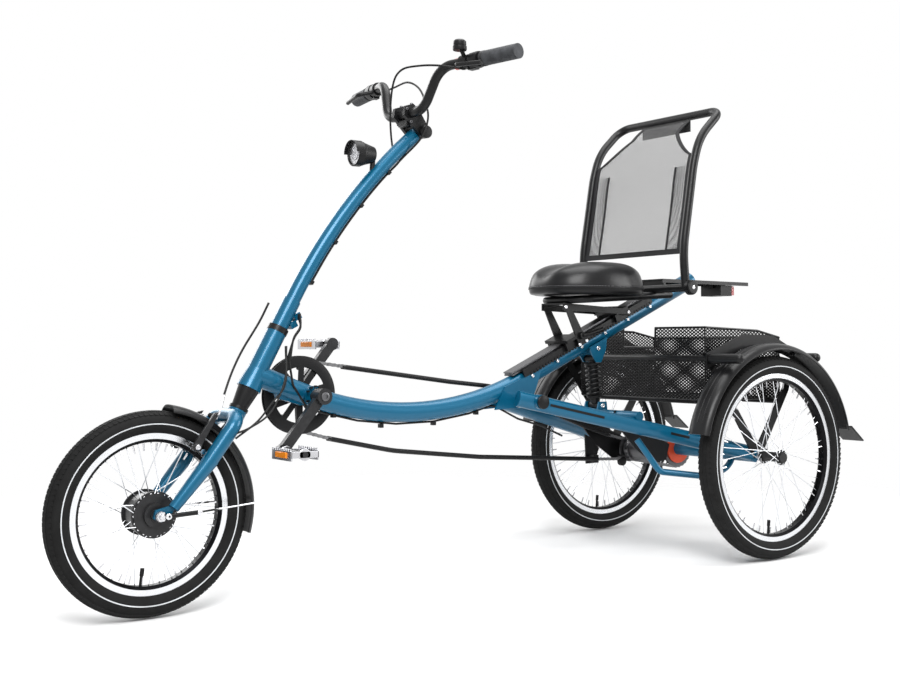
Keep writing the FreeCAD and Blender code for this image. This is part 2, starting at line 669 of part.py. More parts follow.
stay = []
guard_at = polar(WHEELBASE, FRONT_R, FRONT_FENDER_R - 1.5, 134)
stay.append(rod(guard_at, crown, 6))
stay_x, stay_z = WHEELBASE - 11, FRONT_R + 0.5
for s in (-1, 1):
    stay.append(rod_y(stay_x, stay_z, s * (FORK_Y - 3), s * 73, 4))
    stay.append(rod(V(stay_x, s * 70, stay_z), V(stay_x - 62, s * 71, stay_z + 3), 4.5))
    stay.append(rod(V(stay_x - 62, s * 71, stay_z + 3), V(stay_x - 196, s * 32, stay_z + 7), 2))
bracket_rod = stay[0].cut(NODES["fork"].translated(V(-X_SHIFT, 0, 0)))
guard = NODES["front_fender"].translated(V(-X_SHIFT, 0, 0))
save("fender_stay", Part.makeCompound([
    bracket_rod.cut(guard), union(stay[1:4]).cut(guard), union(stay[4:]).cut(guard)]))


def brake_arm(s):
    """One arm of the rim brake, with its pad."""
    post = V(1368, s * (FORK_Y - 4), 322)
    top = V(1344, s * 44, 392)
    pad = polar(WHEELBASE, FRONT_R, FRONT_R - RIM_LIP - 9, 128, s * 20)
    return union([
        rod(post, post + V(26, 0, 10), 6),
        rod(post + V(20, 0, 8), top, 6, 4.5),
        rod(V(pad.x, s * 17, pad.z), V(pad.x, s * 24, pad.z), 5.5),
        rod(V(pad.x, s * 24, pad.z), post + V(20, 0, 8), 4),
    ])


save("front_brake", Part.makeCompound([
    brake_arm(s).cut(NODES["fork"].translated(V(-X_SHIFT, 0, 0))) for s in (1, -1)]))

# ---------------------------------------------------------------- crankset and pedals
ring_plate = rod_y(BB_X, BB_Z, RING_Y - 2, RING_Y + 2, RING_R)
ring_plate = ring_plate.cut(rod_y(BB_X, BB_Z, RING_Y - 5, RING_Y + 5, RING_R - 14))
guard = rod_y(BB_X, BB_Z, RING_Y - 8.5, RING_Y - 5.5, 85).cut(
    rod_y(BB_X, BB_Z, RING_Y - 12, RING_Y + 5, 66))
arms5 = [plate_xz([(0, -9), (72, -6), (72, 6), (0, 9)], RING_Y - 8.5, RING_Y) for _ in range(5)]
for k, arm in enumerate(arms5):
    arm.translate(V(BB_X, 0, BB_Z))
    arm.rotate(V(BB_X, 0, BB_Z), SIDE, 72.0 * k + 20)
boss = rod_y(BB_X, BB_Z, RING_Y - 9, -33, 22)
chainring = union([ring_plate, guard, boss] + arms5)


def crank_arm(sign):
    end = polar(BB_X, BB_Z, CRANK_LEN, CRANK_ANGLE)
    if sign < 0:
        end = polar(BB_X, BB_Z, CRANK_LEN, CRANK_ANGLE + 180)
    y0, y1 = sorted((sign * 54, sign * 68))
    return [
        rod_y(BB_X, BB_Z, sign * 48, sign * 78, 17),
        rod_y(end.x, end.z, y0, y1, 14),
        block(V((BB_X + end.x) / 2, sign * 61, (BB_Z + end.z) / 2), (CRANK_LEN, 13, 22), CRANK_ANGLE),
        rod_y(end.x, end.z, sign * 60, sign * (80 + PEDAL_W), 6),
    ]


crank = union([rod_y(BB_X, BB_Z, -50, 50, 10)] + crank_arm(1) + crank_arm(-1))
save("crankset", crank)
save("chainring", chainring.cut(rod_y(BB_X, BB_Z, -60, 60, 10)))


def pedal(sign):
    end = polar(BB_X, BB_Z, CRANK_LEN, CRANK_ANGLE if sign > 0 else CRANK_ANGLE + 180)
    y0, y1 = sorted((sign * 78, sign * (78 + PEDAL_W)))
    hl, hh = PEDAL_LEN / 2.0, PEDAL_H / 2.0
    body = box(end.x - hl, end.x + hl, y0, y1, end.z - hh, end.z + hh)
    hole = box(end.x - hl + 12, end.x + hl - 12, y0 + 8, y1 - 8, end.z - 40, end.z + 40)
    core = rod_y(end.x, end.z, y0, y1, 11)
    return union([body.cut(hole), core]).cut(rod_y(end.x, end.z, y0 - 5, y1 + 5, 6 + RUN_GAP))


save("pedal_left", pedal(1))
save("pedal_right", pedal(-1))

# ---------------------------------------------------------------- chain and cables
CHAIN_R = 3.6
CABLE_R = 2.4


def runs(paths, radius, bend):
    """Several bent wires kept as one node."""
    return Part.makeCompound([pipe(points, radius, bend) for points in paths])


chain_up = rod(V(1036, RING_Y - 2, 486), V(1010, RING_Y - 2, 484), CHAIN_R)
chain_low = rod(V(1064, RING_Y - 2, 329), V(1044, RING_Y - 2, 326), CHAIN_R)
save("drive_chain", Part.makeCompound([
    chain_up.cut(NODES["chain_tube_upper"].translated(V(-X_SHIFT, 0, 0))),
    chain_low.cut(NODES["chain_tube_lower"].translated(V(-X_SHIFT, 0, 0))),
]))
idler = rod_y(178, 226, RING_Y - 6, RING_Y + 6, 12).cut(carrier)
save("chain_idler", idler)

under = [V(x, 0, beam_z(x) - BEAM_R - 3.8) for x in (1085, 1000, 900, 800, 700, 630)]
frame_run = [V(1179, 24, 500), V(1170, 25, 448), V(1128, 12, 396)] + under
frame_run += [V(585, 40, 356), V(530, 62, 338), V(470, 66, 312)]
save("cables", pipe(frame_run, CABLE_R, 24))

along = [on_column(t, -COLUMN_R - CABLE_R) for t in (0.86, 0.7, 0.55, 0.4, 0.25, 0.1)]
left_run = [V(846, 190, 1137), V(892, 160, 1143), V(906, 100, 1151), V(921, 46, 1153), V(916, 4, 1130),
            V(906, -24, 1060), V(897, -27, 985), V(903, -12, 940)]
right_run = [V(846, -188, 1140), V(830, -130, 1150), V(838, -60, 1149), V(836, -14, 1126), V(844, 24, 1090),
             V(846, 42, 1050), V(858, 36, 1006), V(884, 10, 955)]
column_tail = [on_head(262, -SLEEVE_R) + V(0, 8, 0), on_head(240, -SLEEVE_R) + V(0, 15, 0)]
save("bar_cables", Part.makeCompound([
    pipe([p + V(0, 2.5, 0) for p in right_run + along + column_tail], CABLE_R, 22),
    pipe([p - V(0, 2.5, 0) for p in left_run + along + column_tail], CABLE_R, 22),
]))
tail = column_tail[1]
steer_run = [tail + V(1.5, 0, -2.5), tail + V(-2, 4, -30), V(1164, 22, 545), V(1179, 24, 500.2)]
save("steer_cables", pipe(steer_run, CABLE_R, 16))
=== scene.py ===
"""Finished look of the electric seated tricycle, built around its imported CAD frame."""

from __future__ import annotations

import json
import logging
import math
from dataclasses import dataclass, field
from enum import Enum
from typing import Callable, Sequence

import bmesh
import bpy
import numpy as np
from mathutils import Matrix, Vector

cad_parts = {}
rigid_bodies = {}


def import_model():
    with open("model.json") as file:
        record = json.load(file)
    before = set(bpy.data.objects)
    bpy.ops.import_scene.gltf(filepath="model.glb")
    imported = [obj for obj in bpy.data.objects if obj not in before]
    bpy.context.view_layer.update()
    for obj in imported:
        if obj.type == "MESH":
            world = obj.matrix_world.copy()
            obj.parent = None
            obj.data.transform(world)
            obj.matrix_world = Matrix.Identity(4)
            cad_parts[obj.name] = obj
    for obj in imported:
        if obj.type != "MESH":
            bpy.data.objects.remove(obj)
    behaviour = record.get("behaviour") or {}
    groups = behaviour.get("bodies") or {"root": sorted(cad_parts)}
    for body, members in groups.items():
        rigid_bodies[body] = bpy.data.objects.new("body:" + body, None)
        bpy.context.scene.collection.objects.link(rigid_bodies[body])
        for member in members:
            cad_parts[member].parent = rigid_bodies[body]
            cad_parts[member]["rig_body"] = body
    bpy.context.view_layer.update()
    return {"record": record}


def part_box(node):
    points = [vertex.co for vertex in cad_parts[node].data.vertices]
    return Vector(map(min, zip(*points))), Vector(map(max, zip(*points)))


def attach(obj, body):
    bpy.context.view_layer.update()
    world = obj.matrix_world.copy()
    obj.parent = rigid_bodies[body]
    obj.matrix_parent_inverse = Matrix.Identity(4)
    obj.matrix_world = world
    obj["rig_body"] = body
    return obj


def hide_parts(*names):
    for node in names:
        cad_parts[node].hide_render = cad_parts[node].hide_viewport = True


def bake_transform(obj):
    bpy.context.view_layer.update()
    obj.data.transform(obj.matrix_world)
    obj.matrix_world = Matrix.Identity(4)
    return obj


LOG = logging.getLogger("tricycle")
AXLE_X = -0.67075
HEAD_TILT = math.radians(62.2)
HEAD_FOOT = (1281.0, 399.0)
COLUMN_START = 264.8
COLUMN_BEND = 1.328
COLUMN_TURN = math.radians(21.2)
FRONT_AXLE = (1465.0, 202.5)
SIDE = Vector((0.0, 1.0, 0.0))
UP = Vector((0.0, 0.0, 1.0))
Colour = tuple[float, float, float, float]
Points = Sequence[Vector]


def at(x: float, y: float, z: float) -> Vector:
    """Point given in millimetres ahead of the rear axle, to the left of the middle and above the ground."""
    return Vector((x / 1000.0 + AXLE_X, y / 1000.0, z / 1000.0))


def around(centre: Vector, radius: float, degrees: float, y: float = 0.0) -> Vector:
    """Point on a circle in a vertical plane, degrees counted from straight ahead up over the top."""
    a = math.radians(degrees)
    return centre + Vector((radius * math.cos(a), y, radius * math.sin(a)))


def run_of(*places: tuple[float, float, float]) -> list[Vector]:
    """Points of a run, each given as for at()."""
    return [at(*place) for place in places]


def outward(degrees: float) -> Vector:
    """Direction away from a wheel's centre, degrees counted as for around()."""
    a = math.radians(degrees)
    return Vector((math.cos(a), 0.0, math.sin(a)))


def onward(degrees: float) -> Vector:
    """Direction along a wheel's rim, degrees counted as for around()."""
    a = math.radians(degrees)
    return Vector((-math.sin(a), 0.0, math.cos(a)))


def box_of(node: str) -> tuple[Vector, Vector]:
    """Middle and half size of a CAD node's box."""
    low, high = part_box(node)
    return (low + high) / 2, (high - low) / 2


class Body(Enum):
    """Moving bodies of the tricycle."""

    FRAME = "frame"
    STEERING = "steering"
    FRONT_WHEEL = "front_wheel"
    REAR_LEFT = "rear_wheel_left"
    REAR_RIGHT = "rear_wheel_right"
    CRANK = "crank"
    LEFT_PEDAL = "left_pedal"
    RIGHT_PEDAL = "right_pedal"


# ------------------------------------------------------------------ finishes


class Graph:
    """A material's node graph, with short ways to add and join its nodes."""

    def __init__(self, name: str) -> None:
        """Starts an empty graph that ends in one surface shader.

        Args:
            name: Name of the material.
        """
        self.material = bpy.data.materials.new(name)
        self.material.use_nodes = True
        self.tree = self.material.node_tree
        self.tree.nodes.clear()
        self.out = self.tree.nodes.new("ShaderNodeOutputMaterial")
        self.shader = self.tree.nodes.new("ShaderNodeBsdfPrincipled")
        self.tree.links.new(self.shader.outputs[0], self.out.inputs[0])
        self.coords = self.tree.nodes.new("ShaderNodeTexCoord").outputs["Object"]

    def set(self, **values: object) -> None:
        """Sets the surface shader's sockets, named with underscores for spaces."""
        for key, value in values.items():
            self.shader.inputs[key.replace("_", " ")].default_value = value

    def add(self, kind: str, **props: object) -> bpy.types.Node:
        """Adds a node and sets its own properties.

        Args:
            kind: Type name of the node.
            **props: Properties by name.

        Returns:
            The node.
        """
        node = self.tree.nodes.new(kind)
        for key, value in props.items():
            setattr(node, key, value)
        return node

    def join(self, source: bpy.types.NodeSocket, target: bpy.types.NodeSocket) -> None:
        """Links one socket to another."""
        self.tree.links.new(source, target)

    def stretched(self, scale: Sequence[float]) -> bpy.types.NodeSocket:
        """Coordinates in metres, stretched along each axis.

        Args:
            scale: Factor for each axis.

        Returns:
            The stretched coordinates.
        """
        node = self.add("ShaderNodeMapping")
        node.inputs["Scale"].default_value = scale
        self.join(self.coords, node.inputs["Vector"])
        return node.outputs[0]

    def noise(self, scale: float, detail: float = 4.0,
              vector: bpy.types.NodeSocket | None = None) -> bpy.types.NodeSocket:
        """Smooth noise.

        Args:
            scale: Waves in a metre.
            detail: Octaves.
            vector: Coordinates, the plain ones if left out.

        Returns:
            The noise value.
        """
        node = self.add("ShaderNodeTexNoise")
        node.inputs["Scale"].default_value = scale
        node.inputs["Detail"].default_value = detail
        self.join(vector or self.coords, node.inputs["Vector"])
        return node.outputs["Fac"]

    def cells(self, scale: float) -> bpy.types.NodeSocket:
        """Distance to the nearest of scattered points.

        Args:
            scale: Points in a metre.

        Returns:
            The distance.
        """
        node = self.add("ShaderNodeTexVoronoi")
        node.inputs["Scale"].default_value = scale
        self.join(self.coords, node.inputs["Vector"])
        return node.outputs["Distance"]

    def math(self, operation: str, a: bpy.types.NodeSocket | float,
             b: bpy.types.NodeSocket | float = 0.0) -> bpy.types.NodeSocket:
        """One sum on two values.

        Args:
            operation: Name of the sum.
            a: First value.
            b: Second value.

        Returns:
            The result.
        """
        node = self.add("ShaderNodeMath", operation=operation)
        for socket, value in zip(node.inputs, (a, b)):
            if isinstance(value, bpy.types.NodeSocket):
                self.join(value, socket)
            else:
                socket.default_value = value
        return node.outputs[0]

    def ramp(self, value: bpy.types.NodeSocket,
             stops: Sequence[tuple[float, Colour]]) -> bpy.types.NodeSocket:
        """Colours by value.

        Args:
            value: The value.
            stops: Place and colour of each stop.

        Returns:
            The colour.
        """
        node = self.add("ShaderNodeValToRGB")
        bar = node.color_ramp
        while len(bar.elements) < len(stops):
            bar.elements.new(0.5)
        for element, (place, colour) in zip(bar.elements, stops):
            element.position = place
            element.color = colour
        self.join(value, node.inputs[0])
        return node.outputs[0]

    def span(self, value: bpy.types.NodeSocket, low: float, high: float, socket: str) -> None:
        """Drives a shader socket between two amounts with a value from 0 to 1.

        Args:
            value: The value.
            low: Amount at 0.
            high: Amount at 1.
            socket: Name of the shader's socket.
        """
        node = self.add("ShaderNodeMapRange")
        node.inputs["To Min"].default_value = low
        node.inputs["To Max"].default_value = high
        self.join(value, node.inputs["Value"])
        self.join(node.outputs[0], self.shader.inputs[socket])

    def bump(self, height: bpy.types.NodeSocket, strength: float, distance: float) -> None:
        """Raises the surface by a height pattern.

        Args:
            height: The pattern.
            strength: Share of the effect.
            distance: Full height in metres.
        """
        node = self.add("ShaderNodeBump")
        node.inputs["Strength"].default_value = strength
        node.inputs["Distance"].default_value = distance
        self.join(height, node.inputs["Height"])
        self.join(node.outputs[0], self.shader.inputs["Normal"])


def tint(colour: Sequence[float], factor: float) -> Colour:
    """A colour made lighter or darker, as four numbers."""
    return tuple([min(1.0, c * factor) for c in colour[:3]] + [1.0])


@dataclass(frozen=True)
class GlossPaint:
    """Sprayed and lacquered paint with a fine flake."""

    name: str
    colour: tuple[float, float, float]
    metallic: float = 0.3
    roughness: float = 0.34

    def material(self) -> bpy.types.Material:
        """Builds the material."""
        g = Graph(self.name)
        flake = g.cells(2600.0)
        colour = g.ramp(flake, [(0.0, tint(self.colour, 1.05)), (1.0, tint(self.colour, 0.96))])
        g.join(colour, g.shader.inputs["Base Color"])
        g.set(Metallic=self.metallic, Coat_Weight=0.3, Coat_Roughness=0.07)
        g.shader.inputs["Specular IOR Level"].default_value = 0.25
        g.span(g.noise(40.0), self.roughness - 0.05, self.roughness + 0.07, "Roughness")
        g.bump(g.noise(240.0, 2.0), 0.05, 0.0002)
        return g.material


@dataclass(frozen=True)
class SatinPaint:
    """Powder coat with a slight orange peel."""

    name: str
    colour: tuple[float, float, float]
    roughness: float = 0.36

    def material(self) -> bpy.types.Material:
        """Builds the material."""
        g = Graph(self.name)
        mottle = g.noise(90.0)
        colour = g.ramp(mottle, [(0.3, tint(self.colour, 0.85)), (0.7, tint(self.colour, 1.25))])
        g.join(colour, g.shader.inputs["Base Color"])
        g.span(mottle, self.roughness - 0.06, self.roughness + 0.08, "Roughness")
        g.set(Coat_Weight=0.08, Coat_Roughness=0.2)
        g.shader.inputs["Specular IOR Level"].default_value = 0.2
        g.bump(g.noise(900.0, 2.0), 0.2, 0.0003)
        return g.material


@dataclass(frozen=True)
class MouldedPlastic:
    """Moulded plastic with a spark-eroded grain."""

    name: str
    colour: tuple[float, float, float]
    roughness: float = 0.42
    grain: float = 1400.0
    shine: float = 0.22

    def material(self) -> bpy.types.Material:
        """Builds the material."""
        g = Graph(self.name)
        patch = g.noise(25.0)
        colour = g.ramp(patch, [(0.3, tint(self.colour, 0.88)), (0.7, tint(self.colour, 1.15))])
        g.join(colour, g.shader.inputs["Base Color"])
        g.span(patch, self.roughness - 0.06, self.roughness + 0.06, "Roughness")
        g.shader.inputs["Specular IOR Level"].default_value = self.shine
        g.bump(g.noise(self.grain, 3.0), 0.25, 0.0002)
        return g.material


@dataclass(frozen=True)
class Rubber:
    """Rubber with a dusty bloom."""

    name: str
    colour: tuple[float, float, float]
    roughness: float = 0.72
    ribs: float = 0.0

    def material(self) -> bpy.types.Material:
        """Builds the material."""
        g = Graph(self.name)
        bloom = g.noise(60.0, 6.0)
        colour = g.ramp(bloom, [(0.35, tint(self.colour, 0.75)), (0.75, tint(self.colour, 1.5))])
        g.join(colour, g.shader.inputs["Base Color"])
        g.span(bloom, self.roughness - 0.08, self.roughness + 0.1, "Roughness")
        g.shader.inputs["Specular IOR Level"].default_value = 0.15
        if self.ribs:
            wave = g.add("ShaderNodeTexWave", bands_direction="Y")
            wave.inputs["Scale"].default_value = self.ribs
            g.join(g.coords, wave.inputs["Vector"])
            g.bump(wave.outputs["Fac"], 0.5, 0.0012)
        else:
            g.bump(g.noise(700.0, 4.0), 0.3, 0.0004)
        return g.material


@dataclass(frozen=True)
class BareMetal:
    """Brushed, turned or polished metal."""

    name: str
    colour: tuple[float, float, float]
    roughness: float = 0.28
    streaks: tuple[float, float, float] = (30.0, 900.0, 30.0)

    def material(self) -> bpy.types.Material:
        """Builds the material."""
        g = Graph(self.name)
        streak = g.noise(1.0, 3.0, g.stretched(self.streaks))
        colour = g.ramp(streak, [(0.3, tint(self.colour, 0.86)), (0.7, tint(self.colour, 1.08))])
        g.join(colour, g.shader.inputs["Base Color"])
        g.set(Metallic=1.0)
        g.span(streak, self.roughness - 0.06, self.roughness + 0.1, "Roughness")
        g.bump(streak, 0.08, 0.0003)
        return g.material


@dataclass(frozen=True)
class TurnedRim:
    """Anodised rim with a machined brake track, drawn by distance from the axle."""

    name: str
    centre: Vector
    track_in: float
    track_out: float
    well: float = 0.009
    colour: tuple[float, float, float] = (0.62, 0.63, 0.65)

    def material(self) -> bpy.types.Material:
        """Builds the material."""
        g = Graph(self.name)
        flat = g.add("ShaderNodeVectorMath", operation="MULTIPLY")
        flat.inputs[1].default_value = (1.0, 0.0, 1.0)
        g.join(g.coords, flat.inputs[0])
        away = g.add("ShaderNodeVectorMath", operation="DISTANCE")
        away.inputs[1].default_value = (self.centre.x, 0.0, self.centre.z)
        g.join(flat.outputs[0], away.inputs[0])
        radius = away.outputs["Value"]
        grooves = g.math("SINE", g.math("MULTIPLY", radius, 9000.0))
        inside = g.math("GREATER_THAN", radius, self.track_in)
        under = g.math("LESS_THAN", radius, self.track_out)
        track = g.math("MULTIPLY", inside, under)
        spokes = g.math("LESS_THAN", radius, self.track_in - self.well)
        bright = g.math("MAXIMUM", track, spokes)
        colour = g.ramp(bright, [(0.0, (0.010, 0.010, 0.011, 1.0)), (1.0, tint(self.colour, 1.2))])
        g.join(colour, g.shader.inputs["Base Color"])
        g.set(Metallic=1.0)
        g.span(track, 0.34, 0.22, "Roughness")
        g.bump(g.math("MULTIPLY", grooves, track), 0.15, 0.0002)
        return g.material


@dataclass(frozen=True)
class Leather:
    """Glossy coated leather with a fine pebble grain."""

    name: str
    colour: tuple[float, float, float]

    def material(self) -> bpy.types.Material:
        """Builds the material."""
        g = Graph(self.name)
        grain = g.cells(950.0)
        colour = g.ramp(g.noise(30.0), [(0.3, tint(self.colour, 0.8)), (0.8, tint(self.colour, 1.4))])
        g.join(colour, g.shader.inputs["Base Color"])
        g.span(g.noise(55.0), 0.24, 0.38, "Roughness")
        g.set(Coat_Weight=0.08, Coat_Roughness=0.2)
        g.shader.inputs["Specular IOR Level"].default_value = 0.2
        g.bump(grain, 0.22, 0.0004)
        return g.material


@dataclass(frozen=True)
class MeshFabric:
    """Open woven mesh that lets the background through."""

    name: str
    colour: tuple[float, float, float]
    pitch: float = 0.0032
    thread: float = 0.24

    def material(self) -> bpy.types.Material:
        """Builds the material."""
        g = Graph(self.name)
        split = g.add("ShaderNodeSeparateXYZ")
        g.join(g.coords, split.inputs[0])
        turns = 2.0 * math.pi / self.pitch
        across = g.math("SINE", g.math("MULTIPLY", split.outputs["Y"], turns))
        along = g.math("SINE", g.math("MULTIPLY", split.outputs["Z"], turns))
        holes = g.math("MULTIPLY", g.math("ABSOLUTE", across), g.math("ABSOLUTE", along))
        solid = g.math("LESS_THAN", holes, self.thread)
        g.join(solid, g.shader.inputs["Alpha"])
        colour = g.ramp(holes, [(0.0, tint(self.colour, 0.6)), (0.6, tint(self.colour, 1.6))])
        g.join(colour, g.shader.inputs["Base Color"])
        g.set(Roughness=0.62, Sheen_Weight=0.25)
        g.bump(holes, 0.5, 0.0006)
        return g.material


@dataclass(frozen=True)
class ClearGlass:
    """Clear or tinted lens."""

    name: str
    colour: tuple[float, float, float]
    transmission: float = 0.9
    facets: float = 260.0

    def material(self) -> bpy.types.Material:
        """Builds the material."""
        g = Graph(self.name)
        ribs = g.cells(self.facets)
        colour = g.ramp(ribs, [(0.0, tint(self.colour, 1.1)), (1.0, tint(self.colour, 0.8))])
        g.join(colour, g.shader.inputs["Base Color"])
        g.set(Roughness=0.08, Transmission_Weight=self.transmission, IOR=1.47)
        g.bump(ribs, 0.4, 0.0008)
        return g.material


class Finishes:
    """Every finish of the tricycle, built once and kept by name."""

    def __init__(self) -> None:
        """Builds all of the materials."""
        black = (0.004, 0.004, 0.0044)
        recipes = [
            GlossPaint("blue_paint", (0.0, 0.092, 0.178)),
            GlossPaint("red_paint", (0.55, 0.06, 0.02)),
            SatinPaint("black_paint", black),
            SatinPaint("hub_black", (0.02, 0.02, 0.021), 0.3),
            MouldedPlastic("black_plastic", black),
            MouldedPlastic("guard_plastic", (0.009, 0.009, 0.0095), 0.3, 500.0),
            MouldedPlastic("red_plastic", (0.62, 0.03, 0.02), 0.3),
            MouldedPlastic("amber_reflector", (0.85, 0.26, 0.02), 0.2, 300.0),
            MouldedPlastic("white_reflector", (0.75, 0.76, 0.78), 0.25, 300.0),
            MouldedPlastic("stripe_reflective", (0.6, 0.62, 0.64), 0.35, 900.0),
            Rubber("tyre_rubber", (0.008, 0.008, 0.008)),
            Rubber("grip_rubber", (0.05, 0.052, 0.056), 0.6),
            Rubber("cable_sheath", (0.012, 0.012, 0.012), 0.45),
            BareMetal("steel", (0.5, 0.5, 0.52), 0.3),
            BareMetal("chain_steel", (0.2, 0.2, 0.205), 0.32),
            BareMetal("bright_steel", (0.72, 0.72, 0.74), 0.16),
            BareMetal("dark_steel", (0.12, 0.12, 0.125), 0.38),
            BareMetal("pedal_body", (0.6, 0.6, 0.62), 0.3),
            BareMetal("rim_metal", (0.62, 0.63, 0.65), 0.28),
            Leather("saddle_skin", (0.005, 0.005, 0.0055)),
            MeshFabric("mesh_fabric", (0.02, 0.02, 0.021)),
            MouldedPlastic("webbing", (0.016, 0.016, 0.017), 0.75, 1800.0),
            ClearGlass("clear_lens", (0.97, 0.98, 1.0), 0.97, 90.0),
            ClearGlass("red_lens", (0.7, 0.01, 0.01), 0.55),
        ]
        self.by_name: dict[str, bpy.types.Material] = {r.name: r.material() for r in recipes}

    def __getitem__(self, name: str) -> bpy.types.Material:
        """The material of that name."""
        return self.by_name[name]

    def add(self, recipe: TurnedRim) -> bpy.types.Material:
        """Builds one more material and keeps it."""
        self.by_name[recipe.name] = recipe.material()
        return self.by_name[recipe.name]


# ------------------------------------------------------------------ mesh making


class Shape:
    """Collects mesh parts of one piece, then makes it an object that rides on a body."""

    def __init__(self) -> None:
        """Starts with no faces."""
        self.verts: list[Vector] = []
        self.faces: list[tuple[int, ...]] = []

    def add(self, verts: Sequence[Vector], faces: Sequence[tuple[int, ...]]) -> Shape:
        """Adds points and faces that count from their own first point.

        Args:
            verts: The points.
            faces: The faces, as places in the points.

        Returns:
            This shape.
        """
        base = len(self.verts)
        self.verts.extend(verts)
        self.faces.extend(tuple(base + i for i in f) for f in faces)
        return self

    @staticmethod
    def basis(axis: Vector) -> tuple[Vector, Vector]:
        """Two directions square to an axis and to each other.

        Args:
            axis: The axis.

        Returns:
            Both directions.
        """
        n = axis.normalized()
        first = n.cross(UP if abs(n.z) < 0.9 else SIDE).normalized()
        return first, n.cross(first)

    def lathe(self, centre: Vector, axis: Vector, profile: Sequence[tuple[float, float]],
              sides: int = 32, closed: bool = False) -> Shape:
        """Turns a profile round an axis.

        Args:
            centre: Point on the axis where the profile's distances start.
            axis: Direction of the axis.
            profile: Distance along the axis and radius of each point.
            sides: Number of steps round.
            closed: True if the profile is a ring that meets itself.

        Returns:
            This shape.
        """
        n = axis.normalized()
        u, v = self.basis(n)
        count = len(profile)
        verts = []
        for along, radius in profile:
            for k in range(sides):
                a = 2.0 * math.pi * k / sides
                verts.append(centre + n * along + (u * math.cos(a) + v * math.sin(a)) * radius)
        faces = []
        for i in range(count if closed else count - 1):
            j = (i + 1) % count
            for k in range(sides):
                m = (k + 1) % sides
                faces.append((i * sides + k, j * sides + k, j * sides + m, i * sides + m))
        if not closed:
            faces.append(tuple(range(sides)))
            faces.append(tuple(reversed(range((count - 1) * sides, count * sides))))
        return self.add(verts, faces)

    def rod(self, a: Vector, b: Vector, radius: float, sides: int = 16,
            end_radius: float | None = None) -> Shape:
        """Round bar with slightly eased ends.

        Args:
            a: One end.
            b: Other end.
            radius: Radius at the first end.
            sides: Number of steps round.
            end_radius: Radius at the second end, the same if left out.

        Returns:
            This shape.
        """
        last = radius if end_radius is None else end_radius
        run = (b - a).length
        ease = min(radius, last, run) * 0.12
        profile = [(0.0, radius - ease), (ease, radius), (run - ease, last), (run, last - ease)]
        return self.lathe(a, b - a, profile, sides)

    def tube(self, path: Points, radius: float, sides: int = 10, smooth: bool = True) -> Shape:
        """Round wire along a path, with smooth bends.

        Args:
            path: Points that it passes.
            radius: Wire radius.
            sides: Number of steps round.
            smooth: False for straight runs.

        Returns:
            This shape.
        """
        pts = curve_through(path) if smooth and len(path) > 2 else [p.copy() for p in path]
        verts: list[Vector] = []
        u = None
        for i, p in enumerate(pts):
            n = (pts[min(i + 1, len(pts) - 1)] - pts[max(i - 1, 0)]).normalized()
            if u is None:
                u, _ = self.basis(n)
            u = (u - n * u.dot(n)).normalized()
            v = n.cross(u)
            for k in range(sides):
                a = 2.0 * math.pi * k / sides
                verts.append(p + (u * math.cos(a) + v * math.sin(a)) * radius)
        faces = []
        for i in range(len(pts) - 1):
            for k in range(sides):
                m = (k + 1) % sides
                faces.append((i * sides + k, i * sides + m, (i + 1) * sides + m, (i + 1) * sides + k))
        faces.append(tuple(reversed(range(sides))))
        faces.append(tuple(range((len(pts) - 1) * sides, len(pts) * sides)))
        return self.add(verts, faces)

    def block(self, centre: Vector, size: Sequence[float], axis: Vector = Vector((1, 0, 0)),
              up: Vector = UP) -> Shape:
        """Block with its long side along an axis.

        Args:
            centre: Middle of the block.
            size: Length along the axis, width and height.
            axis: Direction of the length.
            up: Rough direction of the height.

        Returns:
            This shape.
        """
        x = axis.normalized()
        y = up.cross(x).normalized()
        z = x.cross(y)
        verts = []
        for sx in (-0.5, 0.5):
            for sy in (-0.5, 0.5):
                for sz in (-0.5, 0.5):
                    verts.append(centre + x * sx * size[0] + y * sy * size[1] + z * sz * size[2])
        faces = [(0, 1, 3, 2), (4, 6, 7, 5), (0, 4, 5, 1), (2, 3, 7, 6), (0, 2, 6, 4), (1, 5, 7, 3)]
        return self.add(verts, faces)

    def plate(self, outline: Points, offset: Vector) -> Shape:
        """Flat plate from an outline.

        Args:
            outline: Points of one face.
            offset: Way from that face to the other.

        Returns:
            This shape.
        """
        count = len(outline)
        verts = list(outline) + [p + offset for p in outline]
        faces: list[tuple[int, ...]] = [tuple(range(count)), tuple(reversed(range(count, 2 * count)))]
        for i in range(count):
            j = (i + 1) % count
            faces.append((i, i + count, j + count, j))
        return self.add(verts, faces)

    def bolt(self, place: Vector, axis: Vector, radius: float, height: float = 0.004,
             socket: bool = True) -> Shape:
        """Cap screw with a chamfer.

        Args:
            place: Middle of the seat.
            axis: Direction in which the head stands out.
            radius: Radius of the head.
            height: Height of the head.
            socket: False for a domed head with no recess.

        Returns:
            This shape.
        """
        r, h = radius, height
        profile = [(-h * 0.2, r), (h * 0.7, r), (h, r * 0.82)]
        if socket:
            profile += [(h, r * 0.5), (h * 0.35, r * 0.48)]
        else:
            profile += [(h * 1.05, r * 0.4)]
        return self.lathe(place, axis, profile, 12)

    def nut(self, place: Vector, axis: Vector, radius: float, height: float) -> Shape:
        """Hexagon nut with chamfered corners.

        Args:
            place: Middle of the seat.
            axis: Direction in which it stands out.
            radius: Radius at the corners.
            height: Height of the nut.

        Returns:
            This shape.
        """
        profile = [(0.0, radius * 0.93), (height * 0.15, radius), (height * 0.85, radius),
                   (height, radius * 0.93)]
        return self.lathe(place, axis, profile, 6)

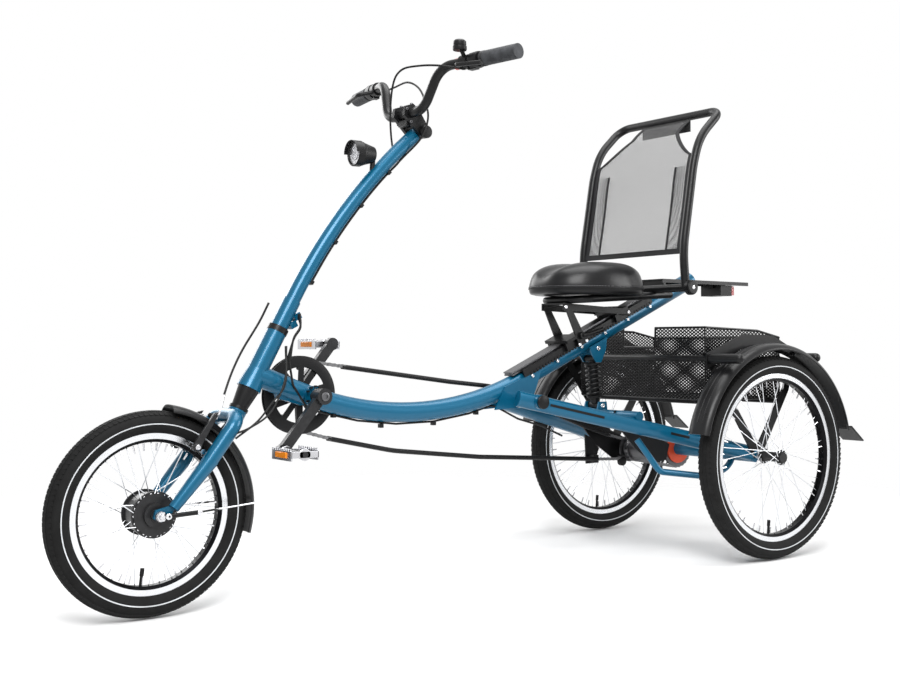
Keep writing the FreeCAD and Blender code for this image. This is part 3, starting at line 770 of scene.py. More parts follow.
    def torus(self, centre: Vector, axis: Vector, radius: float, wire: float,
              sides: int = 48, section: int = 10) -> Shape:
        """Ring of round wire.

        Args:
            centre: Middle of the ring.
            axis: Direction square to the ring.
            radius: Radius to the wire's middle.
            wire: Radius of the wire.
            sides: Steps round the ring.
            section: Steps round the wire.

        Returns:
            This shape.
        """
        profile = []
        for k in range(section):
            a = 2.0 * math.pi * k / section
            profile.append((wire * math.sin(a), radius + wire * math.cos(a)))
        return self.lathe(centre, axis, profile, sides, closed=True)

    def make(self, name: str, material: bpy.types.Material, body: Body, smooth: float = 38.0,
             bevel: float = 0.0, slot: str | None = None) -> bpy.types.Object:
        """Makes the object.

        Args:
            name: Name of the piece.
            material: Its material.
            body: Body that it rides on.
            smooth: Edges sharper than this many degrees stay sharp.
            bevel: Width of the rounded edges in metres.
            slot: Not used.

        Returns:
            The object.
        """
        mesh = bpy.data.meshes.new(name)
        mesh.from_pydata([tuple(v) for v in self.verts], [], self.faces)
        work = bmesh.new()
        work.from_mesh(mesh)
        bmesh.ops.recalc_face_normals(work, faces=work.faces)
        work.to_mesh(mesh)
        work.free()
        obj = bpy.data.objects.new(name, mesh)
        bpy.context.scene.collection.objects.link(obj)
        mesh.materials.append(material)
        if bevel:
            edge = obj.modifiers.new("edge", "BEVEL")
            edge.width = bevel
            edge.segments = 2
            edge.limit_method = "ANGLE"
        mesh.shade_smooth()
        mesh.set_sharp_from_angle(angle=math.radians(smooth))
        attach(obj, body.value)
        LOG.info("%s: %d faces", name, len(self.faces))
        return obj


def curve_through(path: Points, steps: int = 6) -> list[Vector]:
    """Smooth line through the given points.

    Args:
        path: Points that it passes.
        steps: Parts between two points.

    Returns:
        The points of the smooth line.
    """
    pts = [path[0] * 2 - path[1], *path, path[-1] * 2 - path[-2]]
    line = []
    for i in range(1, len(pts) - 2):
        a, b, c, d = pts[i - 1:i + 3]
        for s in range(steps):
            t = s / steps
            line.append(0.5 * (2 * b + (c - a) * t + (2 * a - 5 * b + 4 * c - d) * t * t
                               + (3 * b - a - 3 * c + d) * t * t * t))
    line.append(path[-1].copy())
    return line


def column_point(share: float, behind: float) -> Vector:
    """A point behind the bent column.

    Args:
        share: Place along the bend, from 0 at its foot to 1 at its tip.
        behind: Distance from the column's centre line, towards the rider.

    Returns:
        The point in the row's frame.
    """
    c, n = math.cos(HEAD_TILT), math.sin(HEAD_TILT)
    foot = at(HEAD_FOOT[0] - c * COLUMN_START, 0, HEAD_FOOT[1] + n * COLUMN_START)
    hub = foot - Vector((n, 0, c)) * COLUMN_BEND
    a = math.pi / 2 - HEAD_TILT + COLUMN_TURN * share
    return hub + Vector((math.cos(a), 0, math.sin(a))) * (COLUMN_BEND - behind)


@dataclass
class Assembly:
    """A group of pieces that share the finishes."""

    finishes: Finishes

    def put(self, shape: Shape, name: str, finish: str, body: Body, smooth: float = 38.0,
            bevel: float = 0.0, slot: str | None = None) -> bpy.types.Object:
        """Makes a piece from a shape.

        Args:
            shape: Its faces.
            name: Name of the piece.
            finish: Name of its finish.
            body: Body that it rides on.
            smooth: Edges sharper than this many degrees stay sharp.
            bevel: Width of the rounded edges in metres.
            slot: Material slot of the record, none if left out.

        Returns:
            The object.
        """
        return shape.make(name, self.finishes[finish], body, smooth, bevel, slot)


# ------------------------------------------------------------------ wheels


@dataclass
class Wheel(Assembly):
    """One wheel: tyre with its tread and stripe, rim, valve and spoke nipples."""

    key: str
    body: Body
    rim_depth: float = 0.025
    spokes: int = 36
    blocks: int = 120

    def __post_init__(self) -> None:
        """Reads the wheel's place and size from its CAD tyre."""
        self.centre, size = box_of(f"{self.key}_tyre")
        self.radius, self.half = size.z, size.y
        self.rim_radius = box_of(f"{self.key}_rim")[1].z

    def build(self) -> None:
        """Builds and dresses the wheel."""
        self.tyre()
        self.stripe()
        self.rim()
        self.small_parts()

    def profile(self) -> list[tuple[float, float]]:
        """Section of the tyre.

        Returns:
            The offset and the radius of each point.
        """
        section = self.radius - self.rim_radius + 0.006
        mid = self.radius - section * 0.52
        points = []
        for k in range(33):
            a = math.radians(-140 + 280 * k / 32)
            flat = 1.0 if abs(a) > 0.9 else 1.0 - 0.02 * math.cos(a * 1.7)
            points.append((self.half * math.sin(a), mid + section * 0.5 * math.cos(a) * flat))
        return points

    def tyre(self) -> None:
        """Tyre with shallow sawn blocks over the crown, in place of the CAD ring."""
        shape = Shape()
        rows = self.profile()
        rows += [(rows[-1][0] * 0.55, rows[-1][1] + 0.002), (rows[0][0] * 0.55, rows[0][1] + 0.002)]
        shape.lathe(self.centre, SIDE, rows, 144, closed=True)
        section = self.radius - self.rim_radius + 0.006
        step = 360.0 / self.blocks
        for k in range(self.blocks):
            for row, (y, width, lean) in enumerate(
                    ((-0.0155, 0.009, 24), (-0.005, 0.0088, 10), (0.0055, 0.0088, -10), (0.016, 0.009, -24))):
                angle = step * (k + 0.5 * (row % 2))
                lift = section * 0.5 * math.sqrt(1.0 - (y / self.half) ** 2)
                place = around(self.centre, self.radius - section * 0.52 + lift - 0.0010, angle, y)
                out = outward(angle) + SIDE * y * 32.0
                length = math.radians(step) * self.radius * 0.8
                skew = (onward(angle) + SIDE * math.tan(math.radians(lean)) * 0.5).normalized()
                shape.block(place, (length, width, 0.0018), skew, out)
        tyre = self.put(shape, f"{self.key}_tyre_tread", "tyre_rubber", self.body,
                          slot="tyre_rubber")
        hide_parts(f"{self.key}_tyre")

    def stripe(self) -> None:
        """Reflective stripe on both side walls."""
        rows = self.profile()
        for sign, name in ((1, "outer"), (-1, "inner")):
            wall = [(y, r) for y, r in rows if y * sign > 0 and r < self.radius - self.half * 0.72]
            wall.sort(key=lambda p: -p[1])
            band = [(wall[1][0], wall[1][1]), (wall[2][0], wall[2][1])]
            lift = 0.0004 * sign
            mid_r = (band[0][1] + band[1][1]) / 2
            mid_y = (band[0][0] + band[1][0]) / 2
            slope = Vector((band[1][0] - band[0][0], band[1][1] - band[0][1])).normalized() * 0.0011
            ring = [(mid_y - slope.x + lift, mid_r - slope.y), (mid_y + slope.x + lift, mid_r + slope.y),
                    (mid_y + slope.x - lift, mid_r + slope.y), (mid_y - slope.x - lift, mid_r - slope.y)]
            Shape().lathe(self.centre, SIDE, ring, 144, closed=True).make(
                f"{self.key}_stripe_{name}", self.finishes["stripe_reflective"], self.body)

    def rim(self) -> None:
        """Gives the CAD rim its machined brake track."""
        recipe = TurnedRim(f"{self.key}_rim_metal", self.centre,
                           self.rim_radius - 0.0125, self.rim_radius + 0.001)
        dress(f"{self.key}_rim", self.finishes.add(recipe))

    def small_parts(self) -> None:
        """Valve and spoke nipples."""
        inner = self.rim_radius - self.rim_depth
        silver = Shape()
        for k in range(self.spokes):
            angle = 360.0 * (k + 0.5) / self.spokes
            y = 0.004 if k % 2 else -0.004
            a = around(self.centre, inner + 0.004, angle, y)
            b = around(self.centre, inner - 0.011, angle, y)
            silver.rod(a, b, 0.0021, 8, 0.0016)
        self.put(silver, f"{self.key}_nipples", "bright_steel", self.body)
        valve = Shape()
        a = around(self.centre, inner + 0.006, -84.0)
        b = around(self.centre, inner - 0.028, -84.0)
        axis = b - a
        valve.rod(a, a + axis * 0.62, 0.0032, 12)
        valve.rod(a + axis * 0.55, b, 0.0042, 12)
        self.put(valve, f"{self.key}_valve", "black_plastic", self.body)


def dress(node: str, material: bpy.types.Material) -> None:
    """Gives a CAD node a material.

    Args:
        node: Name of the node.
        material: Its material.
    """
    obj = bpy.data.objects[node]
    obj.data.materials.clear()
    obj.data.materials.append(material)


# ------------------------------------------------------------------ sub-assemblies


@dataclass
class Basket(Assembly):
    """Expanded metal basket with its rim wires, in place of the plain CAD tray."""

    cell: float = 0.0135
    strand: float = 0.0021
    inset: float = 0.002

    def build(self) -> None:
        """Builds the mesh walls and the rim."""
        low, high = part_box("basket")
        self.low = low + Vector((self.inset,) * 3)
        self.high = high - Vector((self.inset,) * 3)
        net = Shape()
        x0, y0, z0 = self.low
        x1, y1, z1 = self.high
        back = z1 - 0.024
        self.wall(net, Vector((x0, y0, z0)), Vector((x1 - x0, 0, 0)), UP, lambda t: self.rim_z(x0 + t))
        self.wall(net, Vector((x0, y1, z0)), Vector((x1 - x0, 0, 0)), UP, lambda t: self.rim_z(x0 + t))
        self.wall(net, Vector((x0, y0, z0)), Vector((0, y1 - y0, 0)), UP, lambda t: back)
        self.wall(net, Vector((x1, y0, z0)), Vector((0, y1 - y0, 0)), UP, lambda t: self.front_z(y0 + t))
        self.wall(net, Vector((x0, y0, z0)), Vector((0, y1 - y0, 0)), Vector((1, 0, 0)), lambda t: x1)
        basket = self.put(net, "basket_net", "black_paint", Body.FRAME, slot="black_paint")
        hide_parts("basket")
        self.rim()

    def rim_z(self, x: float) -> float:
        """Height of the side walls at a place along them.

        Args:
            x: Place along the basket.

        Returns:
            The height.
        """
        x0, x1 = self.low.x, self.high.x
        t = (x - x0) / (x1 - x0)
        z1 = self.high.z
        return z1 - 0.024 + 0.017 * min(1.0, t / 0.3) + 0.007 * max(0.0, (t - 0.3) / 0.7)

    def front_z(self, y: float) -> float:
        """Height of the front wall, with its notch."""
        return self.high.z - 0.05 if -0.062 < y < 0.056 else self.high.z

    def wall(self, net: Shape, corner: Vector, run: Vector, rise: Vector,
             top: Callable[[float], float]) -> None:
        """Adds one wall of diamond cells.

        Args:
            net: Shape that collects the strands.
            corner: Lower corner of the wall.
            run: Direction and length of its base.
            rise: Direction of its height.
            top: Height limit, as a coordinate along the rise, by distance along the base.
        """
        length = run.length
        along = run / length
        start = corner.dot(rise)
        columns = round(length / self.cell)
        step = length / columns
        half_rise = self.cell * 0.3
        out = along.cross(rise)
        limit = max(top(t * length / 20.0) for t in range(21)) - start
        rows = int(limit / half_rise)
        for r in range(rows):
            for c in range(columns):
                for side in (-1, 1):
                    centre_t = (c + 0.5 * (r % 2) + 0.25 + 0.25 * side) * step
                    a_t = centre_t - 0.25 * step
                    b_t = centre_t + 0.25 * step
                    lo_h, hi_h = r * half_rise, (r + 1) * half_rise
                    a_h, b_h = (lo_h, hi_h) if side > 0 else (hi_h, lo_h)
                    if b_t > length + 0.001 or start + hi_h > top(min(length, centre_t)):
                        continue
                    a = corner + along * a_t + rise * a_h
                    b = corner + along * b_t + rise * b_h
                    self.strip(net, a, b, out)

    def strip(self, net: Shape, a: Vector, b: Vector, out: Vector) -> None:
        """Adds one flat strand between two knots.

        Args:
            net: Shape that collects the strands.
            a: One knot.
            b: Other knot.
            out: Direction square to the wall.
        """
        d = (b - a).normalized()
        w = d.cross(out).normalized() * self.strand * 0.6
        t = out.normalized() * self.strand * 0.5
        verts = [a - w - t, a + w - t, a + w + t, a - w + t, b - w - t, b + w - t, b + w + t, b - w + t]
        net.add(verts, [(0, 1, 5, 4), (1, 2, 6, 5), (2, 3, 7, 6), (3, 0, 4, 7)])

    def rim(self) -> None:
        """Wire along the top edge, and the folded edges at the corners."""
        x0, y0, z0 = self.low
        x1, y1, _ = self.high
        xs = [x0, x0 + (x1 - x0) * 0.3, x1]
        wire = Shape()
        for y in (y0, y1):
            pts = [Vector((x, y, self.rim_z(x))) for x in xs]
            wire.tube(pts, 0.003, 8, smooth=False)
            wire.tube([Vector((x0, y, z0)), Vector((x1, y, z0))], 0.0022, 8, smooth=False)
            for x in (x0, x1):
                wire.tube([Vector((x, y, z0)), Vector((x, y, self.rim_z(x)))], 0.0022, 8, smooth=False)
        z_back = self.rim_z(x0)
        wire.tube([Vector((x0, y0, z_back)), Vector((x0, y1, z_back))], 0.003, 8, smooth=False)
        z_front = self.high.z
        dip = z_front - 0.05
        left = ((y1, z_front), (0.058, z_front), (0.056, dip))
        right = ((-0.062, dip), (-0.064, z_front), (y0, z_front))
        wire.tube([Vector((x1, y, z)) for y, z in reversed(left + right)], 0.003, 8, smooth=False)
        for x in (x0, x1):
            wire.tube([Vector((x, y0, z0)), Vector((x, y1, z0))], 0.0022, 8, smooth=False)
        self.put(wire, "basket_wires", "black_paint", Body.FRAME)


@dataclass
class Backrest(Assembly):
    """Mesh sheet stretched on the backrest loop, with its hems and sleeve."""

    def build(self) -> None:
        """Builds the sheet and its edges."""
        low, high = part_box("backrest_mesh")
        y0, y1 = low.y, high.y
        node = bpy.data.objects["backrest_mesh"]
        front = self.front_line(np.array([v.co for v in node.data.vertices]))
        columns, shape = 36, Shape()
        grid: list[Vector] = []
        half = (y1 - y0) / 2
        for r, (x, z) in enumerate(front):
            share = r / (len(front) - 1)
            wide = half * self.width_at(share)
            for c in range(columns + 1):
                t = c / columns
                hollow = -0.010 * math.sin(math.pi * t) * math.sin(math.pi * share)
                grid.append(Vector((x + hollow, (2 * t - 1) * wide, z)))
        faces = []
        width = columns + 1
        for r in range(len(front) - 1):
            for c in range(columns):
                faces.append((r * width + c, r * width + c + 1, (r + 1) * width + c + 1, (r + 1) * width + c))
        sheet = shape.add(grid, faces).make("backrest_sheet", self.finishes["mesh_fabric"], Body.FRAME,
                                             slot="mesh_fabric")
        thick = sheet.modifiers.new("thickness", "SOLIDIFY")
        thick.thickness = 0.0008
        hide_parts("backrest_mesh")
        hems = Shape()
        last = len(front) - 1
        for sign in (-1, 1):
            edge_line = [Vector((x, sign * half * self.width_at(r / last), z))
                         for r, (x, z) in enumerate(front)]
            self.band(hems, edge_line, SIDE * -sign * 0.012)
            pocket = [Vector((x - 0.001, sign * (half - 0.056), z)) for x, z in front[:int(last * 0.66)]]
            self.band(hems, pocket, SIDE * sign * 0.005)
        for (x, z), step, wide in ((front[0], 0.014, half), (front[-1], -0.030, half * self.width_at(1.0))):
            self.band(hems, [Vector((x, wide * (t / 6.0 - 1.0), z)) for t in range(13)], UP * step)
        sides = Shape()
        for sign in (-1, 1):
            low_row = [Vector((x - 0.0022, sign * (half - 0.056), z)) for x, z in front[:int(last * 0.66)]]
            high_row = [Vector((x - 0.0022, sign * (half - 0.008), z)) for x, z in front[:int(last * 0.66)]]
            count = len(low_row)
            sides.add(low_row + high_row, [(i, i + 1, count + i + 1, count + i) for i in range(count - 1)])
        pockets = self.put(sides, "backrest_side_layers", "mesh_fabric", Body.FRAME, slot="mesh_fabric")
        fold = pockets.modifiers.new("thickness", "SOLIDIFY")
        fold.thickness = 0.0008
        edge = self.put(hems, "backrest_hems", "webbing", Body.FRAME, slot="mesh_fabric")

    @staticmethod
    def width_at(share: float) -> float:
        """Half width of the sheet.

        Args:
            share: Place from the lower edge, 0, to the top edge, 1.

        Returns:
            The share of the full half width.
        """
        if share < 0.7:
            return 1.0
        t = (share - 0.7) / 0.3
        return 1.0 - 0.5 * min(1.0, t * 1.5) ** 0.8

    @staticmethod
    def front_line(verts: np.ndarray) -> list[tuple[float, float]]:
        """Smooth middle line of the CAD sheet, from its lower edge to its upper edge.

        Args:
            verts: Points of the CAD sheet.

        Returns:
            Places ahead and heights along the line.
        """
        low, high = float(verts[:, 2].min()), float(verts[:, 2].max())
        fit = np.polyfit(verts[:, 2], verts[:, 0], 4)
        return [(float(np.polyval(fit, z)), z) for z in np.linspace(low, high, 41)]

    @staticmethod
    def band(shape: Shape, line: Points, width: Vector) -> None:
        """Adds a folded band of webbing along a line.

        Args:
            shape: Shape that collects the bands.
            line: Points of its fold.
            width: Way from the fold to its edge.
        """
        lift = Vector((0.0016, 0.0, 0.0))
        verts = []
        for p in line:
            verts += [p + lift, p + width + lift, p + width - lift, p - lift]
        faces: list[tuple[int, ...]] = [(0, 1, 2, 3)]
        for i in range(len(line) - 1):
            b, n = i * 4, i * 4 + 4
            for k in range(4):
                m = (k + 1) % 4
                faces.append((b + k, n + k, n + m, b + m))
        last = (len(line) - 1) * 4
        faces.append((last + 3, last + 2, last + 1, last))
        shape.add(verts, faces)


@dataclass
class Saddle(Assembly):
    """Padded saddle with a stitched seam, in place of the plain CAD block."""

    rings: int = 16
    spokes: int = 72

    def build(self) -> None:
        """Builds the cover and its seam."""
        self.mid, self.half = box_of("saddle")
        low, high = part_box("saddle")
        self.base, self.height = low.z, high.z - low.z
        verts, faces = self.cover()
        cover = Shape().add(verts, faces).make("saddle_cover", self.finishes["saddle_skin"],
                                                 Body.FRAME, 80.0, slot="saddle_skin")
        smooth = cover.modifiers.new("smooth", "SUBSURF")
        smooth.levels = smooth.render_levels = 1
        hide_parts("saddle")
        seam = [self.edge(k, 1.004, 0.2) for k in range(self.spokes + 1)]
        Shape().tube(seam, 0.0013, 6, smooth=False).make("saddle_seam", self.finishes["webbing"], Body.FRAME)
        thread = Shape()
        for k in range(self.spokes * 2):
            a = self.edge(k / 2.0, 1.006, 0.24)
            b = self.edge(k / 2.0 + 0.28, 1.006, 0.24)
            thread.rod(a, b, 0.0006, 5)
        self.put(thread, "saddle_stitches", "dark_steel", Body.FRAME)

    def plan(self, angle: float) -> tuple[float, float]:
        """Edge of the saddle seen from above.

        Args:
            angle: Turn from straight ahead, in radians.

        Returns:
            The share ahead and the share to the side.
        """
        c, n = math.cos(angle), math.sin(angle)
        power = 2.0 / 3.1
        x = math.copysign(abs(c) ** power, c)
        y = math.copysign(abs(n) ** power, n)
        ahead = max(0.0, x)
        return x, y * (1.0 - 0.3 * ahead ** 1.8)

    def top(self, x: float, y: float, share: float) -> float:
        """Height of the cover over its base.

        Args:
            x: Share of the half length.
            y: Share of the half width.
            share: Place from the middle, 0, to the edge, 1.

        Returns:
            The height.
        """
        round_off = max(0.0, 1.0 - share ** 4.6) ** 0.5
        groove = 0.2 * math.exp(-(y / 0.24) ** 2) * (0.55 + 0.45 * max(0.0, x))
        droop = 0.16 * max(0.0, x) ** 2.0
        rise = 0.05 * max(0.0, -x)
        return self.height * (0.3 + round_off * (0.68 - groove - droop + rise * 0.4))

    def edge(self, k: float, grow: float, level: float) -> Vector:
        """Point on the side wall of the cover.

        Args:
            k: Step round the edge.
            grow: Factor on the outline.
            level: Share of the height.

        Returns:
            The point.
        """
        x, y = self.plan(2.0 * math.pi * k / self.spokes)
        return Vector((self.mid.x + x * self.half.x * grow, self.mid.y + y * self.half.y * grow,
                       self.base + self.height * level))

    def cover(self) -> tuple[list[Vector], list[tuple[int, ...]]]:
        """Closed cover of the saddle.

        Returns:
            The points and the faces.
        """
        verts = [Vector((self.mid.x, self.mid.y, self.base + self.top(0.0, 0.0, 0.0)))]
        shares = [(k / self.rings) ** 0.8 for k in range(1, self.rings + 1)]
        for share in shares:
            for k in range(self.spokes):
                x, y = self.plan(2.0 * math.pi * k / self.spokes)
                verts.append(Vector((self.mid.x + x * share * self.half.x,
                                     self.mid.y + y * share * self.half.y,
                                     self.base + self.top(x * share, y * share, share))))
        for level, grow in ((0.2, 1.0), (0.08, 0.992), (0.0, 0.96), (0.0, 0.5)):
            for k in range(self.spokes):
                verts.append(self.edge(k, grow, level))
        verts.append(Vector((self.mid.x, self.mid.y, self.base)))
        faces: list[tuple[int, ...]] = []
        count = self.rings + 4
        for k in range(self.spokes):
            m = (k + 1) % self.spokes
            faces.append((0, 1 + k, 1 + m))
            for r in range(count - 1):
                a, b = 1 + r * self.spokes, 1 + (r + 1) * self.spokes
                faces.append((a + k, b + k, b + m, a + m))
            last = 1 + (count - 1) * self.spokes
            faces.append((last + k, len(verts) - 1, last + m))
        return verts, faces


@dataclass
class Chain(Assembly):
    """Roller chain laid along a line in a vertical plane."""

    pitch: float = 0.0127

    def lay(self, path: Points, y: float, name: str) -> bpy.types.Object:
        """Lays links along a path.

        Args:
            path: Points of the path; their own sideways place is left out.
            y: Sideways place of the chain.
            name: Name of the piece.

        Returns:
            The chain.
        """
        line = [Vector((p.x, y, p.z)) for p in path]
        lengths = [(b - a).length for a, b in zip(line, line[1:])]
        count = max(2, round(sum(lengths) / self.pitch))
        step = sum(lengths) / count
        pins = [self.along(line, lengths, step * k) for k in range(count + 1)]
        shape = Shape()
        for k, (a, b) in enumerate(zip(pins, pins[1:])):
            gap = 0.0029 if k % 2 else 0.0040
            for sign in (-1, 1):
                self.link(shape, a, b, SIDE * sign * gap)
            shape.rod(a - SIDE * 0.0046, a + SIDE * 0.0046, 0.0018, 8)
            shape.rod(a - SIDE * 0.0024, a + SIDE * 0.0024, 0.0038, 10)
        return shape.make(name, self.finishes["chain_steel"], Body.FRAME, slot="steel")

    @staticmethod
    def along(line: Points, lengths: Sequence[float], want: float) -> Vector:
        """Point at a distance along a line.

        Args:
            line: Points of the line.
            lengths: Length of each part.
            want: Distance from the start.

        Returns:
            The point.
        """
        for a, b, run in zip(line, line[1:], lengths):
            if want <= run + 1e-9:
                return a.lerp(b, want / run)
            want -= run
        return line[-1].copy()

    @staticmethod
    def link(shape: Shape, a: Vector, b: Vector, offset: Vector) -> None:
        """Adds one waisted side plate.

        Args:
            shape: Shape that collects the links.
            a: One pin.
            b: Next pin.
            offset: Way to the side.
        """
        d = (b - a).normalized()
        n = d.cross(SIDE)
        wide, waist = 0.0040, 0.0028
        outline = []
        for centre, turn in ((b, 0.0), (a, math.pi)):
            for k in range(7):
                t = turn - math.pi / 2 + math.pi * k / 6
                outline.append(centre + (d * math.cos(t) + n * math.sin(t)) * wide)
            mid = (a + b) / 2
            outline.append(mid + n * (waist if turn == 0.0 else -waist))
        shape.plate([p + offset for p in outline], SIDE * math.copysign(0.0009, offset.y))


def belt(c1: Vector, r1: float, c2: Vector, r2: float) -> list[Vector]:
    """Closed line round two circles in a vertical plane.

    Args:
        c1: Centre of the first circle.
        r1: Its radius.
        c2: Centre of the second circle.
        r2: Its radius.

    Returns:
        Points of the line, the first one repeated at the end.
    """
    d = c2 - c1
    base = math.atan2(d.z, d.x)
    lean = math.acos((r1 - r2) / math.hypot(d.x, d.z))
    points = []
    for k in range(13):
        a = base + lean + (2 * math.pi - 2 * lean) * k / 12
        points.append(c1 + Vector((math.cos(a), 0, math.sin(a))) * r1)
    for k in range(13):
        a = base - lean + 2 * lean * k / 12
        points.append(c2 + Vector((math.cos(a), 0, math.sin(a))) * r2)
    points.append(points[0].copy())
    return points


@dataclass
class Cogs(Assembly):
    """Toothed wheels."""

    def cog(self, name: str, centre: Vector, radius: float, teeth: int, material: str, body: Body,
            width: float = 0.0022, hole: float = 0.6) -> bpy.types.Object:
        """Builds a toothed ring.

        Args:
            name: Name of the piece.
            centre: Centre of the wheel.
            radius: Radius at the tooth tips.
            teeth: Number of teeth.
            material: Name of its finish.
            body: Body that it rides on.
            width: Thickness.
            hole: Share of the radius that is open.

        Returns:
            The wheel.
        """
        shape = Shape()
        outer = []
        root = radius - 0.0045
        for k in range(teeth):
            for share, r in ((0.0, root), (0.3, root), (0.45, radius), (0.55, radius), (0.7, root)):
                a = 2 * math.pi * (k + share) / teeth
                outer.append((a, r))
        count = len(outer)
        verts = []
        for y in (-width / 2, width / 2):
            for a, r in outer:
                verts.append(centre + Vector((math.cos(a) * r, y, math.sin(a) * r)))
            for a, _ in outer:
                verts.append(centre + Vector((math.cos(a) * radius * hole, y, math.sin(a) * radius * hole)))
        faces: list[tuple[int, ...]] = []
        for k in range(count):
            m = (k + 1) % count
            faces.append((k, m, count + m, count + k))
            faces.append((2 * count + k, 3 * count + k, 3 * count + m, 2 * count + m))
            faces.append((k, 2 * count + k, 2 * count + m, m))
            faces.append((count + k, count + m, 3 * count + m, 3 * count + k))
        shape.add(verts, faces)
        return self.put(shape, name, material, body)


